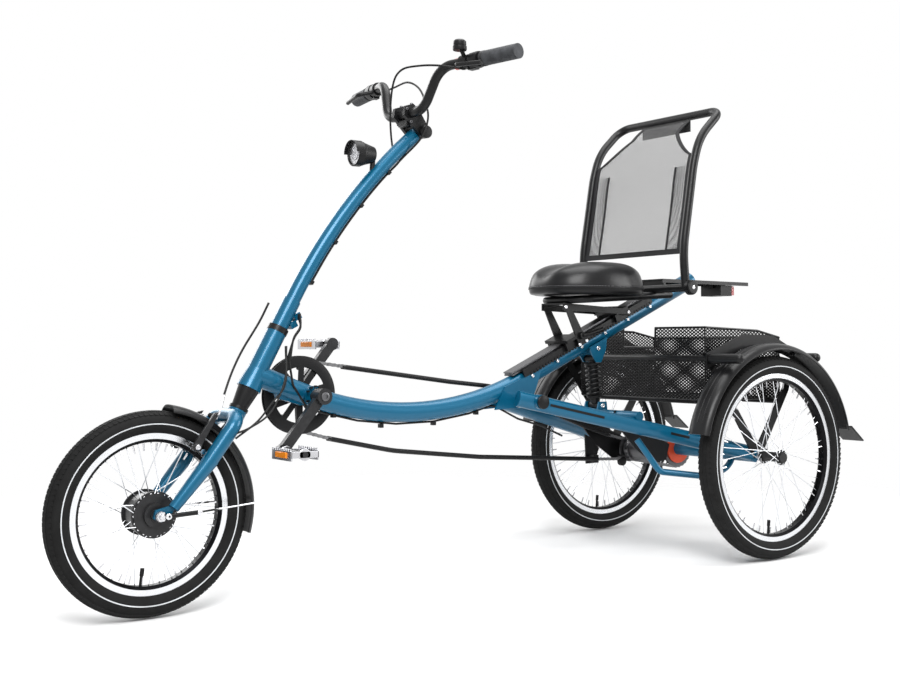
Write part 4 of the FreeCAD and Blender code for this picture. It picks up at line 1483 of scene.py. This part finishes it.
@dataclass
class Drive(Assembly):
    """Chain, cogs, crank bolts and pedals."""

    ring_y: float = -40.0
    bottom: tuple[float, float] = (1122.0, 424.0)
    gear: tuple[float, float] = (152.0, 258.0)

    def build(self) -> None:
        """Builds every piece of the drive."""
        self.runs()
        self.chain_ring()
        self.gears()
        self.roller()
        self.cranks()
        self.pedal(Body.LEFT_PEDAL, "pedal_left")
        self.pedal(Body.RIGHT_PEDAL, "pedal_right")

    def runs(self) -> None:
        """Chain round the chain ring in front and round the hub gear behind; its tubes hide the rest."""
        chain = Chain(self.finishes)
        bx, bz = self.bottom
        y = self.ring_y / 1000.0
        wrap = [around(at(bx, 0, bz), 0.075, a) for a in range(100, -96, -14)]
        front = [at(1012, 0, 484)] + wrap + [at(1046, 0, 326)]
        first = chain.lay(front, y, "drive_chain_front")
        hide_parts("drive_chain")
        gx, gz = self.gear
        rear = run_of((226, 0, 297), (170, 0, 283))
        rear += [around(at(gx, 0, gz), 0.026, a) for a in (100, 130, 160, 190, 220, 250, 275)]
        rear += run_of((178, 0, 240), (196, 0, 233), (262, 0, 236))
        chain.lay(rear, y, "drive_chain_rear")

    def chain_ring(self) -> None:
        """Teeth of the chain ring and the guard beside them."""
        bx, bz = self.bottom
        Cogs(self.finishes).cog("chain_ring_teeth", at(bx, self.ring_y, bz), 0.0775, 38, "steel",
                                Body.CRANK, hole=0.82)
        guard = Shape()
        profile = [(0.0, 0.060), (0.0022, 0.061), (0.0026, 0.0635), (0.0026, 0.0825), (0.0018, 0.0848),
                   (0.0, 0.085)]
        guard.lathe(at(bx, self.ring_y + 4.6, bz), SIDE, profile, 96, closed=True)
        for k in range(5):
            middle, angle = at(bx, self.ring_y + 5.4, bz), 72 * k + 20
            root, end = around(middle, 0.020, angle), around(middle, 0.066, angle)
            arm = end - root
            guard.block((root + end) / 2, (arm.length, 0.0034, 0.013), arm, arm.cross(SIDE))
        self.put(guard, "chain_guard", "black_plastic", Body.CRANK, bevel=0.0005)

    def gears(self) -> None:
        """Cogs of the hub gear and of the axle, and the short chain between them."""
        cogs = Cogs(self.finishes)
        gx, gz = self.gear
        cogs.cog("gear_cog", at(gx, self.ring_y, gz), 0.028, 13, "steel", Body.FRAME, hole=0.3)
        mid, size = box_of("axle_sprocket")
        big = size.z
        cogs.cog("axle_cog_teeth", mid, big + 0.004, 26, "dark_steel", Body.FRAME, hole=0.7)
        small = Vector((at(gx, 0, gz).x, mid.y, gz / 1000.0))
        cogs.cog("gear_cog_second", small, 0.031, 15, "steel", Body.FRAME, hole=0.3)
        loop = belt(mid, big, small, 0.028)
        Chain(self.finishes).lay(loop, mid.y, "axle_chain")

    def roller(self) -> None:
        """Roller that guides the lower run of the chain."""
        roller = at(178, self.ring_y, 226)
        profile = [(0, 0.008), (0.001, 0.0118), (0.004, 0.0118), (0.0052, 0.0095), (0.0068, 0.0095),
                   (0.008, 0.0118), (0.011, 0.0118), (0.012, 0.008)]
        wheel = Shape().lathe(roller - SIDE * 0.006, SIDE, profile, 28)
        idler = self.put(wheel, "chain_roller", "black_plastic", Body.FRAME)
        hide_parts("chain_idler")

    def cranks(self) -> None:
        """Crank bolts, eyes and the ring bolts of the guard."""
        bx, bz = self.bottom
        bolts = Shape()
        for sign in (1, -1):
            out = SIDE * sign
            bolts.bolt(at(bx, sign * 78, bz), out, 0.0095, 0.003)
            end = around(at(bx, 0, bz), 0.142, -51 if sign > 0 else 129, sign * 0.068)
            bolts.torus(end, out, 0.0085, 0.0014, 24, 6)
        for k in range(5):
            place = around(at(bx, self.ring_y - 8.5, bz), 0.058, 72 * k + 20)
            bolts.bolt(place, -SIDE, 0.0045, 0.0022)
            bolts.bolt(place + SIDE * 0.011, SIDE, 0.0045, 0.0022)
        self.put(bolts, "crank_bolts", "dark_steel", Body.CRANK)
        cup = Shape()
        for sign in (1, -1):
            for k in range(12):
                a = 30 * k
                place = around(at(bx, sign * 35, bz), 0.0205, a)
                cup.block(place, (0.005, 0.006, 0.004), Vector((1, 0, 0)), place - at(bx, sign * 35, bz))
        self.put(cup, "bearing_cup_notches", "black_plastic", Body.FRAME)

    def pedal(self, body: Body, node: str) -> None:
        """Cage pedal with toothed side plates and two reflectors.

        Args:
            body: Body that it rides on.
            node: CAD node that it stands for.
        """
        low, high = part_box(node)
        mid, (half_x, half_y, half_z) = box_of(node)
        cage = Shape()
        for end in (1, -1):
            x = mid.x + end * (half_x - 0.003)
            outline = []
            teeth = 9
            for k in range(teeth):
                y0 = low.y + (high.y - low.y) * k / teeth
                y1 = low.y + (high.y - low.y) * (k + 0.5) / teeth
                outline += [Vector((x, y0, high.z)), Vector((x, y1, high.z)), Vector((x, y1, high.z - 0.004)),
                            Vector((x, y1 + (y1 - y0), high.z - 0.004))]
            outline += [Vector((x, high.y, low.z)), Vector((x, low.y, low.z))]
            cage.plate(outline, Vector((end * 0.003, 0, 0)))
            cage.block(Vector((mid.x + end * (half_x - 0.010), mid.y, mid.z)), (0.012, half_y * 1.98, 0.0026))
        for y in (low.y + 0.002, high.y - 0.002):
            for end in (1, -1):
                cage.block(Vector((mid.x + end * half_x * 0.5, y, mid.z)),
                           (half_x * 0.98, 0.004, half_z * 1.1))
            cage.lathe(Vector((mid.x, y - 0.002, mid.z)), SIDE, [(0, 0.0125), (0.004, 0.0125)], 24)
        body_mesh = self.put(cage, f"{node}_cage", "pedal_body", body, bevel=0.0006, slot="pedal_body")
        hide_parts(node)
        core = Shape()
        core.lathe(Vector((mid.x, low.y + 0.003, mid.z)), SIDE,
                   [(0, 0.0105), (0.004, 0.0115), (0.02, 0.0085), (high.y - low.y - 0.026, 0.0085),
                    (high.y - low.y - 0.010, 0.0115), (high.y - low.y - 0.006, 0.0105)], 24)
        self.put(core, f"{node}_barrel", "dark_steel", body)
        lens = Shape()
        for end in (1, -1):
            lens.block(Vector((mid.x + end * (half_x + 0.0002), mid.y, mid.z - 0.001)),
                       (0.005, half_y * 1.1, half_z * 0.95))
        self.put(lens, f"{node}_reflectors", "amber_reflector", body, bevel=0.001)


@dataclass
class FrontEnd(Assembly):
    """Motor hub, rim brake, fork bolts and the front guard's stays."""

    def build(self) -> None:
        """Builds every piece at the front wheel."""
        self.hub()
        self.brake()
        self.bolts()

    def hub(self) -> None:
        """Spoke holes and cover screws of the motor hub."""
        mid, _ = box_of("front_hub")
        heads, screws = Shape(), Shape()
        for sign in (1, -1):
            for k in range(18):
                place = around(mid, 0.0405, 20 * k + (10 if sign < 0 else 0), sign * 0.0275)
                heads.bolt(place, SIDE * sign, 0.0022, 0.0012, socket=False)
            for k in range(6):
                place = around(mid, 0.030, 60 * k, sign * 0.0272)
                screws.bolt(place, SIDE * sign, 0.0026, 0.0016)
        self.put(heads, "front_spoke_heads", "bright_steel", Body.FRONT_WHEEL)
        self.put(screws, "motor_cover_screws", "dark_steel", Body.FRONT_WHEEL)

    def brake(self) -> None:
        """Linear-pull brake arms, pads, noodle and boot, in place of the plain CAD arms."""
        arms, pads, metal = Shape(), Shape(), Shape()
        for s in (1, -1):
            post, top = at(1392, s * 50, 331), at(1344, s * 44, 392)
            d = (top - post).normalized()
            arms.plate([post + Vector((-0.008, 0, -0.006)), post + Vector((0.010, 0, -0.004)),
                        top + Vector((0.007, 0, 0.004)), top + Vector((-0.005, 0, 0.006))], SIDE * s * -0.007)
            arms.rod(post - SIDE * s * 0.004, post + SIDE * s * 0.010, 0.009, 20)
            metal.bolt(post + SIDE * s * 0.010, SIDE * s, 0.0055, 0.004)
            pad = around(at(FRONT_AXLE[0], 0, FRONT_AXLE[1]), 0.1495, 128, s * 0.0205)
            pads.block(pad, (0.052, 0.007, 0.010), onward(128), SIDE * s)
            metal.rod(pad + SIDE * s * 0.004, pad + SIDE * s * 0.020, 0.003, 12)
            metal.nut(pad + SIDE * s * 0.018, SIDE * s, 0.006, 0.005)
            metal.rod(top - SIDE * s * 0.001 - d * 0.006, top - SIDE * s * 0.012 - d * 0.006, 0.004, 12)
        arm = self.put(arms, "brake_arms", "hub_black", Body.STEERING, bevel=0.001, slot="hub_black")
        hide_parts("front_brake")
        self.put(pads, "brake_pads", "cable_sheath", Body.STEERING, bevel=0.001)
        near, far = at(1346, 40, 390), at(1346, -44, 390)
        metal.tube([at(1326, 30, 430), at(1342, 52, 406), near + Vector((0, 0.012, 0.004)), near], 0.0025, 10)
        metal.tube([near, far], 0.0009, 6, smooth=False)
        self.put(metal, "brake_fittings", "bright_steel", Body.STEERING)
        boot = Shape()
        profile = []
        for k in range(13):
            profile.append((0.002 * k, 0.0052 if k % 2 else 0.0040))
        boot.lathe(at(1346, 8, 390), SIDE, profile, 14)
        self.put(boot, "brake_boot", "cable_sheath", Body.STEERING)
        pull = run_of((1342, 52, 406), (1326, 30, 430), (1294, -4, 476), (1262, -24, 522),
                      (1222, -31, 580), (1202, -27, 622))
        line = Shape().tube(pull, 0.0024, 10)
        self.put(line, "brake_cable", "cable_sheath", Body.STEERING)

    def bolts(self) -> None:
        """Axle nuts, stay screws and the guard's bolt."""
        metal = Shape()
        for s in (1, -1):
            out = SIDE * s
            axle = at(FRONT_AXLE[0], 0, FRONT_AXLE[1])
            metal.nut(axle + out * 0.060, out, 0.0105, 0.008)
            metal.rod(axle + out * 0.066, axle + out * 0.073, 0.005, 14)
            metal.bolt(at(1454, s * 73, 203), out, 0.006, 0.003)
            metal.bolt(at(1392, s * 75, 206), out, 0.0052, 0.003)
        self.put(metal, "front_axle_nuts", "bright_steel", Body.STEERING)
        wires = Shape()
        for s in (1, -1):
            wires.tube(run_of((1394, s * 71, 206), (1258, s * 33, 210)), 0.0021, 10, smooth=False)
        self.put(wires, "guard_wires", "bright_steel", Body.STEERING)


@dataclass
class Cockpit(Assembly):
    """Grip ribs, red band, bell, stem screws and lever details."""

    def build(self) -> None:
        """Builds every piece at the bar."""
        black, metal = Shape(), Shape()
        flare = (at(812, 338, 1155) - at(838, 212, 1153)).normalized()
        for s in (1, -1):
            start = at(838, s * 212, 1153)
            d = Vector((flare.x, flare.y * s, flare.z))
            for k in range(3):
                black.torus(start + d * (0.028 + 0.003 * k), d, 0.0158, 0.0014, 28, 6)
            black.torus(start + d * 0.126, d, 0.0138, 0.0026, 28, 8)
            black.lathe(start - d * 0.006, d, [(0.0, 0.0120), (0.0005, 0.0178), (0.020, 0.0188),
                                               (0.0255, 0.0180), (0.026, 0.0120)], 36)
            black.block(start - d * 0.004 + Vector((-0.002, 0, -0.013)), (0.022, 0.015, 0.012), d)
        self.put(black, "grip_collars", "black_plastic", Body.STEERING)
        band = Shape()
        a, b = at(848, 158, 1152.6), at(841.5, 190, 1152.9)
        band.rod(a, b, 0.0128, 28)
        self.put(band, "red_band", "red_plastic", Body.STEERING)
        bell = Shape()
        profile = [(0.0, 0.0145), (0.002, 0.0155), (0.009, 0.0155), (0.010, 0.0135), (0.012, 0.0145),
                   (0.020, 0.0140), (0.0235, 0.0105), (0.0245, 0.004)]
        bell.lathe(at(868, 200, 1173), UP, profile, 32)
        bell.rod(at(852, 194, 1163), at(866, 200, 1180), 0.0048, 14)
        dome = self.put(bell, "bell_dome", "black_plastic", Body.STEERING, slot="black_plastic")
        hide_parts("bell")
        clamp = at(880, 0, 1060)
        for s in (1, -1):
            out = SIDE * s
            for dx, dz in ((13, 8), (-10, 14), (2, -20)):
                metal.bolt(at(880 + dx, s * 27, 1060 + dz), out, 0.0036, 0.0024)
            metal.bolt(clamp + Vector((-0.002, s * 0.022, 0.021)), UP, 0.0034, 0.003)
        self.put(metal, "stem_screws", "dark_steel", Body.STEERING)
        cap = Shape()
        low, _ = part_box("stem")
        pivot = Vector((low.x + 0.014, 0, low.z + 0.014))
        for s in (1, -1):
            cap.lathe(pivot + SIDE * s * 0.030, SIDE * s, [(0, 0.0150), (0.004, 0.0150), (0.007, 0.013),
                                                           (0.0078, 0.006)], 32)
        self.put(cap, "stem_caps", "black_plastic", Body.STEERING)


@dataclass
class Lights(Assembly):
    """Headlight bowl and lens ring, tail light details."""

    def build(self) -> None:
        """Builds the lamps' details."""
        mid, size = box_of("headlight_lens")
        radius = size.z
        ahead = Vector((1, 0, -0.02)).normalized()
        bowl = Shape()
        profile = [(-0.004 + 0.0005 * k, radius * (0.22 + 0.11 * k)) for k in range(8)]
        bowl.lathe(mid, ahead, profile, 40)
        bowl.torus(mid + ahead * 0.0015, ahead, radius * 0.55, 0.0012, 40, 6)
        self.put(bowl, "headlight_bowl", "bright_steel", Body.STEERING)
        rim = Shape()
        rim.torus(mid + ahead * 0.003, ahead, radius + 0.0005, 0.0022, 40, 8)
        for k in range(5):
            rim.torus(mid - ahead * (0.016 + 0.0038 * k), ahead, 0.0262 - 0.0016 * k, 0.0007, 40, 6)
        side = ahead.cross(UP).normalized()
        over = side.cross(ahead).normalized()
        arcs = [[mid + ahead * reach + (side * math.cos(a) + over * math.sin(a)) * (radius + grow)
                 for a in (math.pi * k / 24 for k in range(25))]
                for reach, grow in ((-0.002, 0.0028), (0.012, 0.0034), (0.012, 0.0020), (-0.002, 0.0014))]
        count = len(arcs[0])
        rim.add([p for row in arcs for p in row],
                 [(r * count + i, r * count + i + 1, (r + 1) % 4 * count + i + 1, (r + 1) % 4 * count + i)
                  for r in range(4) for i in range(count - 1)])
        self.put(rim, "headlight_ring", "black_plastic", Body.STEERING)
        led = Shape()
        led.block(mid + ahead * 0.0006, (0.002, 0.007, 0.007), ahead)
        self.put(led, "headlight_emitter", "white_reflector", Body.STEERING)
        low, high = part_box("tail_lens")
        back = Shape()
        for k in range(3):
            y = low.y + (high.y - low.y) * (0.2 + 0.3 * k)
            back.rod(Vector((low.x + 0.0004, y, (low.z + high.z) / 2)),
                     Vector((low.x + 0.003, y, (low.z + high.z) / 2)), 0.006, 20)
        self.put(back, "tail_light_elements", "red_lens", Body.FRAME)


@dataclass
class RearEnd(Assembly):
    """Spring unit, swing arm stripes, rear hub and guard details."""

    def build(self) -> None:
        """Builds every piece at the rear."""
        self.spring()
        self.stripes()
        self.guards()
        self.hardware()

    def spring(self) -> None:
        """Coil spring and damper body, in place of the plain CAD unit."""
        top, low = at(316, 0, 498), at(304, 0, 378)
        d = low - top
        run = d.length
        d = d.normalized()
        unit = Shape()
        unit.lathe(top, d, [(0.004, 0.009), (0.010, 0.0095), (0.012, 0.021), (0.0165, 0.021), (0.018, 0.0125),
                            (run - 0.028, 0.0125), (run - 0.026, 0.021), (run - 0.0215, 0.021),
                            (run - 0.020, 0.014), (run - 0.006, 0.011)], 36)
        for p in (top, low):
            unit.rod(p - SIDE * 0.0225, p + SIDE * 0.0225, 0.0085, 24)
        body = self.put(unit, "damper", "black_plastic", Body.FRAME, slot="black_paint")
        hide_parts("shock")
        coil = []
        u, v = Shape.basis(d)
        turns, length = 6.5, run - 0.044
        for k in range(int(turns * 20) + 1):
            t = k / (turns * 20)
            a = 2 * math.pi * turns * t
            coil.append(top + d * (0.018 + length * t) + (u * math.cos(a) + v * math.sin(a)) * 0.0178)
        self.put(Shape().tube(coil, 0.0032, 10, smooth=False), "damper_spring", "black_paint", Body.FRAME)

    def stripes(self) -> None:
        """Two black stripes on the outer side of each arm."""
        shape = Shape()
        for s in (1, -1):
            front, back = at(600, s * 58, 405), at(0, s * 260, 256)
            d = (back - front).normalized()
            side = d.cross(UP).normalized()
            out = side if side.y * s > 0 else -side
            up = out.cross(d).normalized()
            up = up if up.z > 0 else -up
            for a, b in ((0.12, 0.34), (0.62, 0.70)):
                self.patch(shape, front.lerp(back, a), front.lerp(back, b), out, up, 0.0192)
        self.put(shape, "arm_stripes", "black_plastic", Body.FRAME)

    @staticmethod
    def patch(shape: Shape, a: Vector, b: Vector, out: Vector, up: Vector, radius: float) -> None:
        """Adds a thin strip that hugs a round tube.

        Args:
            shape: Shape that collects the strips.
            a: Start on the tube's middle line.
            b: End on it.
            out: Direction of the strip's middle.
            up: Direction to its upper edge.
            radius: Radius of the strip.
        """
        verts = []
        for p in (a, b):
            for lift in (0.0, 0.0004):
                for k in range(5):
                    t = math.radians(-2 + 4.5 * k)
                    verts.append(p + (out * math.cos(t) + up * math.sin(t)) * (radius + lift))
        faces: list[tuple[int, ...]] = []
        for k in range(4):
            faces.append((5 + k, 6 + k, 16 + k, 15 + k))
            faces.append((k, k + 1, k + 11, k + 10))
        faces += [(0, 5, 15, 10), (4, 9, 19, 14)]
        shape.add(verts, faces)

    def guards(self) -> None:
        """Ribbed lips, ridge, reflectors and screws of the rear mudguards."""
        ridge, lens, screws = Shape(), Shape(), Shape()
        for side in ("left", "right"):
            mid, _ = box_of(f"rear_{side}_tyre")
            s = 1 if side == "left" else -1
            for y in (-0.014, 0.0, 0.014):
                path = [around(mid, 0.2832 - abs(y) * 0.1, a, y) for a in range(20, 166, 6)]
                ridge.tube(path, 0.0013, 6, smooth=False)
            for k in range(5):
                path = [around(mid, 0.2815 - y * y * 9.0, 15 + 1.4 * k, y) for y in
                        (-0.027, -0.018, -0.009, 0.0, 0.009, 0.018, 0.027)]
                ridge.tube(path, 0.0012, 6, smooth=False)
            place = around(mid, 0.2865, 152)
            lens.block(place, (0.034, 0.022, 0.005), onward(152), outward(152))
            for a in (66, 112):
                screws.bolt(around(mid, 0.277, a, -s * 0.037), -SIDE * s, 0.005, 0.003)
        self.put(ridge, "guard_ridges", "guard_plastic", Body.FRAME)
        self.put(lens, "guard_reflectors", "red_plastic", Body.FRAME, bevel=0.001)
        self.put(screws, "guard_screws", "dark_steel", Body.FRAME)

    def hardware(self) -> None:
        """Pivot caps, hub caps, clamps and screws."""
        metal, caps = Shape(), Shape()
        for s in (1, -1):
            out = SIDE * s
            caps.lathe(at(556, s * 101, 397), out, [(0, 0.0165), (0.003, 0.0165), (0.0045, 0.0145)], 32)
            caps.lathe(at(172, s * 215.5, 676), out, [(0, 0.0175), (0.004, 0.0175), (0.006, 0.015)], 32)
            caps.lathe(at(0, s * 350, 253), out, [(0, 0.013), (0.006, 0.013), (0.0085, 0.010)], 28)
            metal.bolt(at(172, s * 221, 676), out, 0.005, 0.002)
            metal.bolt(at(318, s * 27, 524), out, 0.006, 0.003)
            metal.bolt(at(304, s * 27, 378), out, 0.006, 0.003)
            metal.bolt(at(184, s * 290, 499), out, 0.005, 0.002)
            for x, z in ((394, 533), (372, 543), (440, 626), (230, 617)):
                metal.bolt(at(x, s * 44, z), out, 0.0045, 0.003)
        self.put(metal, "frame_bolts", "bright_steel", Body.FRAME)
        self.put(caps, "frame_caps", "black_plastic", Body.FRAME)


@dataclass
class SeatRail(Assembly):
    """Toothed strip, its screws and the quick clamp."""

    slope: float = 24.2

    def build(self) -> None:
        """Builds the rail's details."""
        low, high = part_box("rail_channel")
        a = math.radians(self.slope)
        d = Vector((math.cos(a), 0, -math.sin(a)))
        up = Vector((math.sin(a), 0, math.cos(a)))
        start = Vector((low.x, 0, high.z)) - up * 0.012 + d * 0.006
        strip, screws = Shape(), Shape()
        for s in (1, -1):
            y = s * (high.y + 0.0004)
            for k in range(44):
                place = start + d * (0.010 + 0.0101 * k) + Vector((0, y, 0))
                strip.block(place - up * 0.002, (0.0052, 0.0022, 0.007), d, up)
            for k in range(6):
                place = start + d * (0.015 + 0.086 * k) + Vector((0, y, 0)) - up * 0.0095
                screws.bolt(place, SIDE * s, 0.0042, 0.002)
        self.put(strip, "rail_teeth", "black_plastic", Body.FRAME)
        self.put(screws, "rail_screws", "bright_steel", Body.FRAME)
        lever = Shape()
        lever.rod(at(388, 40, 556), at(388, 52, 556), 0.009, 20)
        lever.tube(run_of((388, 50, 556), (372, 56, 560), (330, 58, 572)), 0.0052, 12)
        self.put(lever, "clamp_lever", "black_plastic", Body.FRAME)


@dataclass
class Cables(Assembly):
    """Cable between the turning column and the frame, and the clips along the column and the beam."""

    def build(self) -> None:
        """Builds the crossing cable and the clips."""
        low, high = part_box("steer_cables")
        top, end = Vector((low.x, 0, high.z)), Vector((high.x, 0, low.z))
        shape = Shape()
        for k, y in enumerate((0.012, 0.019, 0.026)):
            slack = 0.004 * (k - 1)
            path = [top + Vector((0.004, y - 0.006, -0.002)), top + Vector((0.002 + slack, y, -0.030)),
                    top.lerp(end, 0.55) + Vector((slack, y + 0.001, 0)),
                    end + Vector((-0.003, y + 0.002, 0.001))]
            shape.tube(path, 0.0023, 10)
        loops = ([end + Vector((-0.002, 0.012, 0.03))]
                 + run_of((1196, 40, 460), (1232, 52, 396), (1284, 66, 366), (1330, 70, 352)),
                 [end + Vector((-0.004, 0.004, 0.03))]
                 + run_of((1190, 30, 452), (1222, 34, 412), (1262, 50, 376), (1318, 72, 346)))
        for path in loops:
            shape.tube(curve_through(path), 0.0021, 8)
        obj = self.put(shape, "steer_cable_run", "cable_sheath", Body.FRAME)
        obj.parent = None
        del obj["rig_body"]
        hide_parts("steer_cables")
        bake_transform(obj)
        self.bar_runs()
        self.clips()

    def bar_runs(self) -> None:
        """Two brake cables from the levers, in loops to the column and down behind it."""
        left = run_of((846, 190, 1137), (888, 150, 1146), (908, 96, 1152), (920, 46, 1150),
                      (917, 6, 1126), (906, -24, 1060), (897, -27, 985))
        right = run_of((846, -188, 1140), (832, -130, 1150), (834, -66, 1152), (836, -14, 1130),
                       (844, 26, 1092), (846, 42, 1050), (860, 36, 1004))
        shape = Shape()
        for path, side in ((left, -0.0025), (right, 0.0025)):
            down = [column_point(t, 0.0190) + Vector((0, side, 0)) for t in (0.86, 0.7, 0.55, 0.4, 0.25, 0.1)]
            shape.tube(curve_through(path + down), 0.0024, 8)
        obj = self.put(shape, "bar_cable_runs", "cable_sheath", Body.STEERING, slot="black_plastic")
        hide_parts("bar_cables")

    def clips(self) -> None:
        """Clips that hold the cables."""
        column, beam = Shape(), Shape()
        for share in (0.1, 0.32, 0.54, 0.76):
            along = column_point(share + 0.01, 0.0186) - column_point(share, 0.0186)
            column.block(column_point(share, 0.0186), (0.009, 0.017, 0.009), along)
        self.put(column, "column_clips", "black_plastic", Body.STEERING, bevel=0.001)
        for x, z in ((1060, 379), (940, 352), (800, 352), (680, 372)):
            beam.block(at(x, 0, z), (0.009, 0.012, 0.009))
        self.put(beam, "beam_clips", "black_plastic", Body.FRAME, bevel=0.001)


@dataclass
class Studio:
    """Camera, lamps, background and floor."""

    place: Vector = field(default_factory=lambda: Vector((1.70625, 2.3827, 0.5332)))
    back: Vector = field(default_factory=lambda: Vector((0.6236, 0.7799, -0.0531)))
    lens: float = 49.14
    shift: tuple[float, float] = (-0.1049, -0.0648)

    def build(self) -> None:
        """Sets up everything that isn't part of the object."""
        self.camera()
        self.background()
        self.lamps()
        self.floor()

    def camera(self) -> None:
        """Adds the camera."""
        data = bpy.data.cameras.new("camera")
        data.lens = self.lens
        data.sensor_width = 36.0
        data.shift_x, data.shift_y = self.shift
        data.clip_start = 0.05
        cam = bpy.data.objects.new("camera", data)
        cam.location = self.place
        cam.rotation_mode = "QUATERNION"
        cam.rotation_quaternion = (-self.back).to_track_quat("-Z", "Y")
        bpy.context.scene.collection.objects.link(cam)
        bpy.context.scene.camera = cam

    @staticmethod
    def background() -> None:
        """White to the camera and in reflections, softer as a light."""
        world = bpy.data.worlds.new("studio")
        bpy.context.scene.world = world
        world.use_nodes = True
        tree = world.node_tree
        tree.nodes.clear()
        out = tree.nodes.new("ShaderNodeOutputWorld")
        mix = tree.nodes.new("ShaderNodeMixShader")
        rays = tree.nodes.new("ShaderNodeLightPath")
        seen = tree.nodes.new("ShaderNodeBackground")
        light = tree.nodes.new("ShaderNodeBackground")
        seen.inputs["Color"].default_value = (1, 1, 1, 1)
        seen.inputs["Strength"].default_value = 1.0
        light.inputs["Color"].default_value = (1, 1, 1, 1)
        light.inputs["Strength"].default_value = 0.2
        most = tree.nodes.new("ShaderNodeMath")
        most.operation = "MAXIMUM"
        first = tree.nodes.new("ShaderNodeMath")
        first.operation = "MAXIMUM"
        tree.links.new(rays.outputs["Is Camera Ray"], first.inputs[0])
        tree.links.new(rays.outputs["Is Transmission Ray"], first.inputs[1])
        tree.links.new(first.outputs[0], most.inputs[0])
        tree.links.new(rays.outputs["Is Glossy Ray"], most.inputs[1])
        tree.links.new(most.outputs[0], mix.inputs[0])
        tree.links.new(light.outputs[0], mix.inputs[1])
        tree.links.new(seen.outputs[0], mix.inputs[2])
        tree.links.new(mix.outputs[0], out.inputs[0])

    @staticmethod
    def lamps() -> None:
        """Large soft lamps above, in front and at the side."""
        for name, place, size, power in (
                ("key", (1.6, 2.2, 2.6), 1.6, 120.0),
                ("top", (-0.3, 0.2, 3.0), 2.2, 75.0),
                ("side", (-2.4, 1.8, 1.4), 1.3, 40.0),
                ("far", (0.4, -2.6, 1.8), 1.6, 36.0)):
            data = bpy.data.lights.new(name, "AREA")
            data.size = size
            data.energy = power
            lamp = bpy.data.objects.new(name, data)
            lamp.location = place
            aim = Vector((0.0, 0.0, 0.5)) - Vector(place)
            lamp.rotation_mode = "QUATERNION"
            lamp.rotation_quaternion = aim.to_track_quat("-Z", "Y")
            bpy.context.scene.collection.objects.link(lamp)

    @staticmethod
    def floor() -> None:
        """Pale round floor that fades out at its edge."""
        g = Graph("floor_white")
        g.set(Roughness=0.9)
        g.shader.inputs["Base Color"].default_value = (0.93, 0.93, 0.93, 1.0)
        away = g.add("ShaderNodeVectorMath", operation="LENGTH")
        g.join(g.coords, away.inputs[0])
        fade = g.ramp(g.math("DIVIDE", away.outputs["Value"], 2.4),
                      [(0.3, (1, 1, 1, 1)), (0.95, (0, 0, 0, 1))])
        g.join(fade, g.shader.inputs["Alpha"])
        mesh = bpy.data.meshes.new("floor")
        work = bmesh.new()
        bmesh.ops.create_circle(work, cap_ends=True, segments=96, radius=2.4)
        work.to_mesh(mesh)
        work.free()
        mesh.materials.append(g.material)
        floor = bpy.data.objects.new("floor", mesh)
        floor.location = (0.0, 0.0, -0.001)
        bpy.context.scene.collection.objects.link(floor)


def dress_all(record: dict, finishes: Finishes) -> None:
    """Gives every CAD node the finish of its slot.

    Args:
        record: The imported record.
        finishes: All finishes.
    """
    special = {
        "rear_fender_left": "guard_plastic", "rear_fender_right": "guard_plastic",
        "front_fender": "guard_plastic", "chainring": "black_plastic",
        "chain_tube_upper": "black_plastic", "chain_tube_lower": "black_plastic",
        "gear_hub": "dark_steel", "axle_sprocket": "dark_steel", "seat_rail": "dark_steel",
        "bar_cables": "cable_sheath", "cables": "cable_sheath", "gear_plates": "black_paint",
    }
    for part in record["subparts"]:
        name = special.get(part["node"], part["material_slot"])
        dress(part["node"], finishes[name])


def main() -> None:
    """Builds the tricycle's look piece by piece."""
    logging.basicConfig(level=logging.INFO, format="%(name)s: %(message)s")
    for o in list(bpy.data.objects):
        bpy.data.objects.remove(o)
    bpy.context.scene.view_settings.view_transform = "Standard"
    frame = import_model()
    Studio().build()
    finishes = Finishes()
    dress_all(frame["record"], finishes)
    for key, body in (("front", Body.FRONT_WHEEL), ("rear_left", Body.REAR_LEFT),
                      ("rear_right", Body.REAR_RIGHT)):
        Wheel(finishes, key, body).build()
    for part in (Saddle, Backrest, Basket, Drive, FrontEnd, Cockpit, Lights, RearEnd, SeatRail, Cables):
        part(finishes).build()


if __name__ == "__main__":
    main()
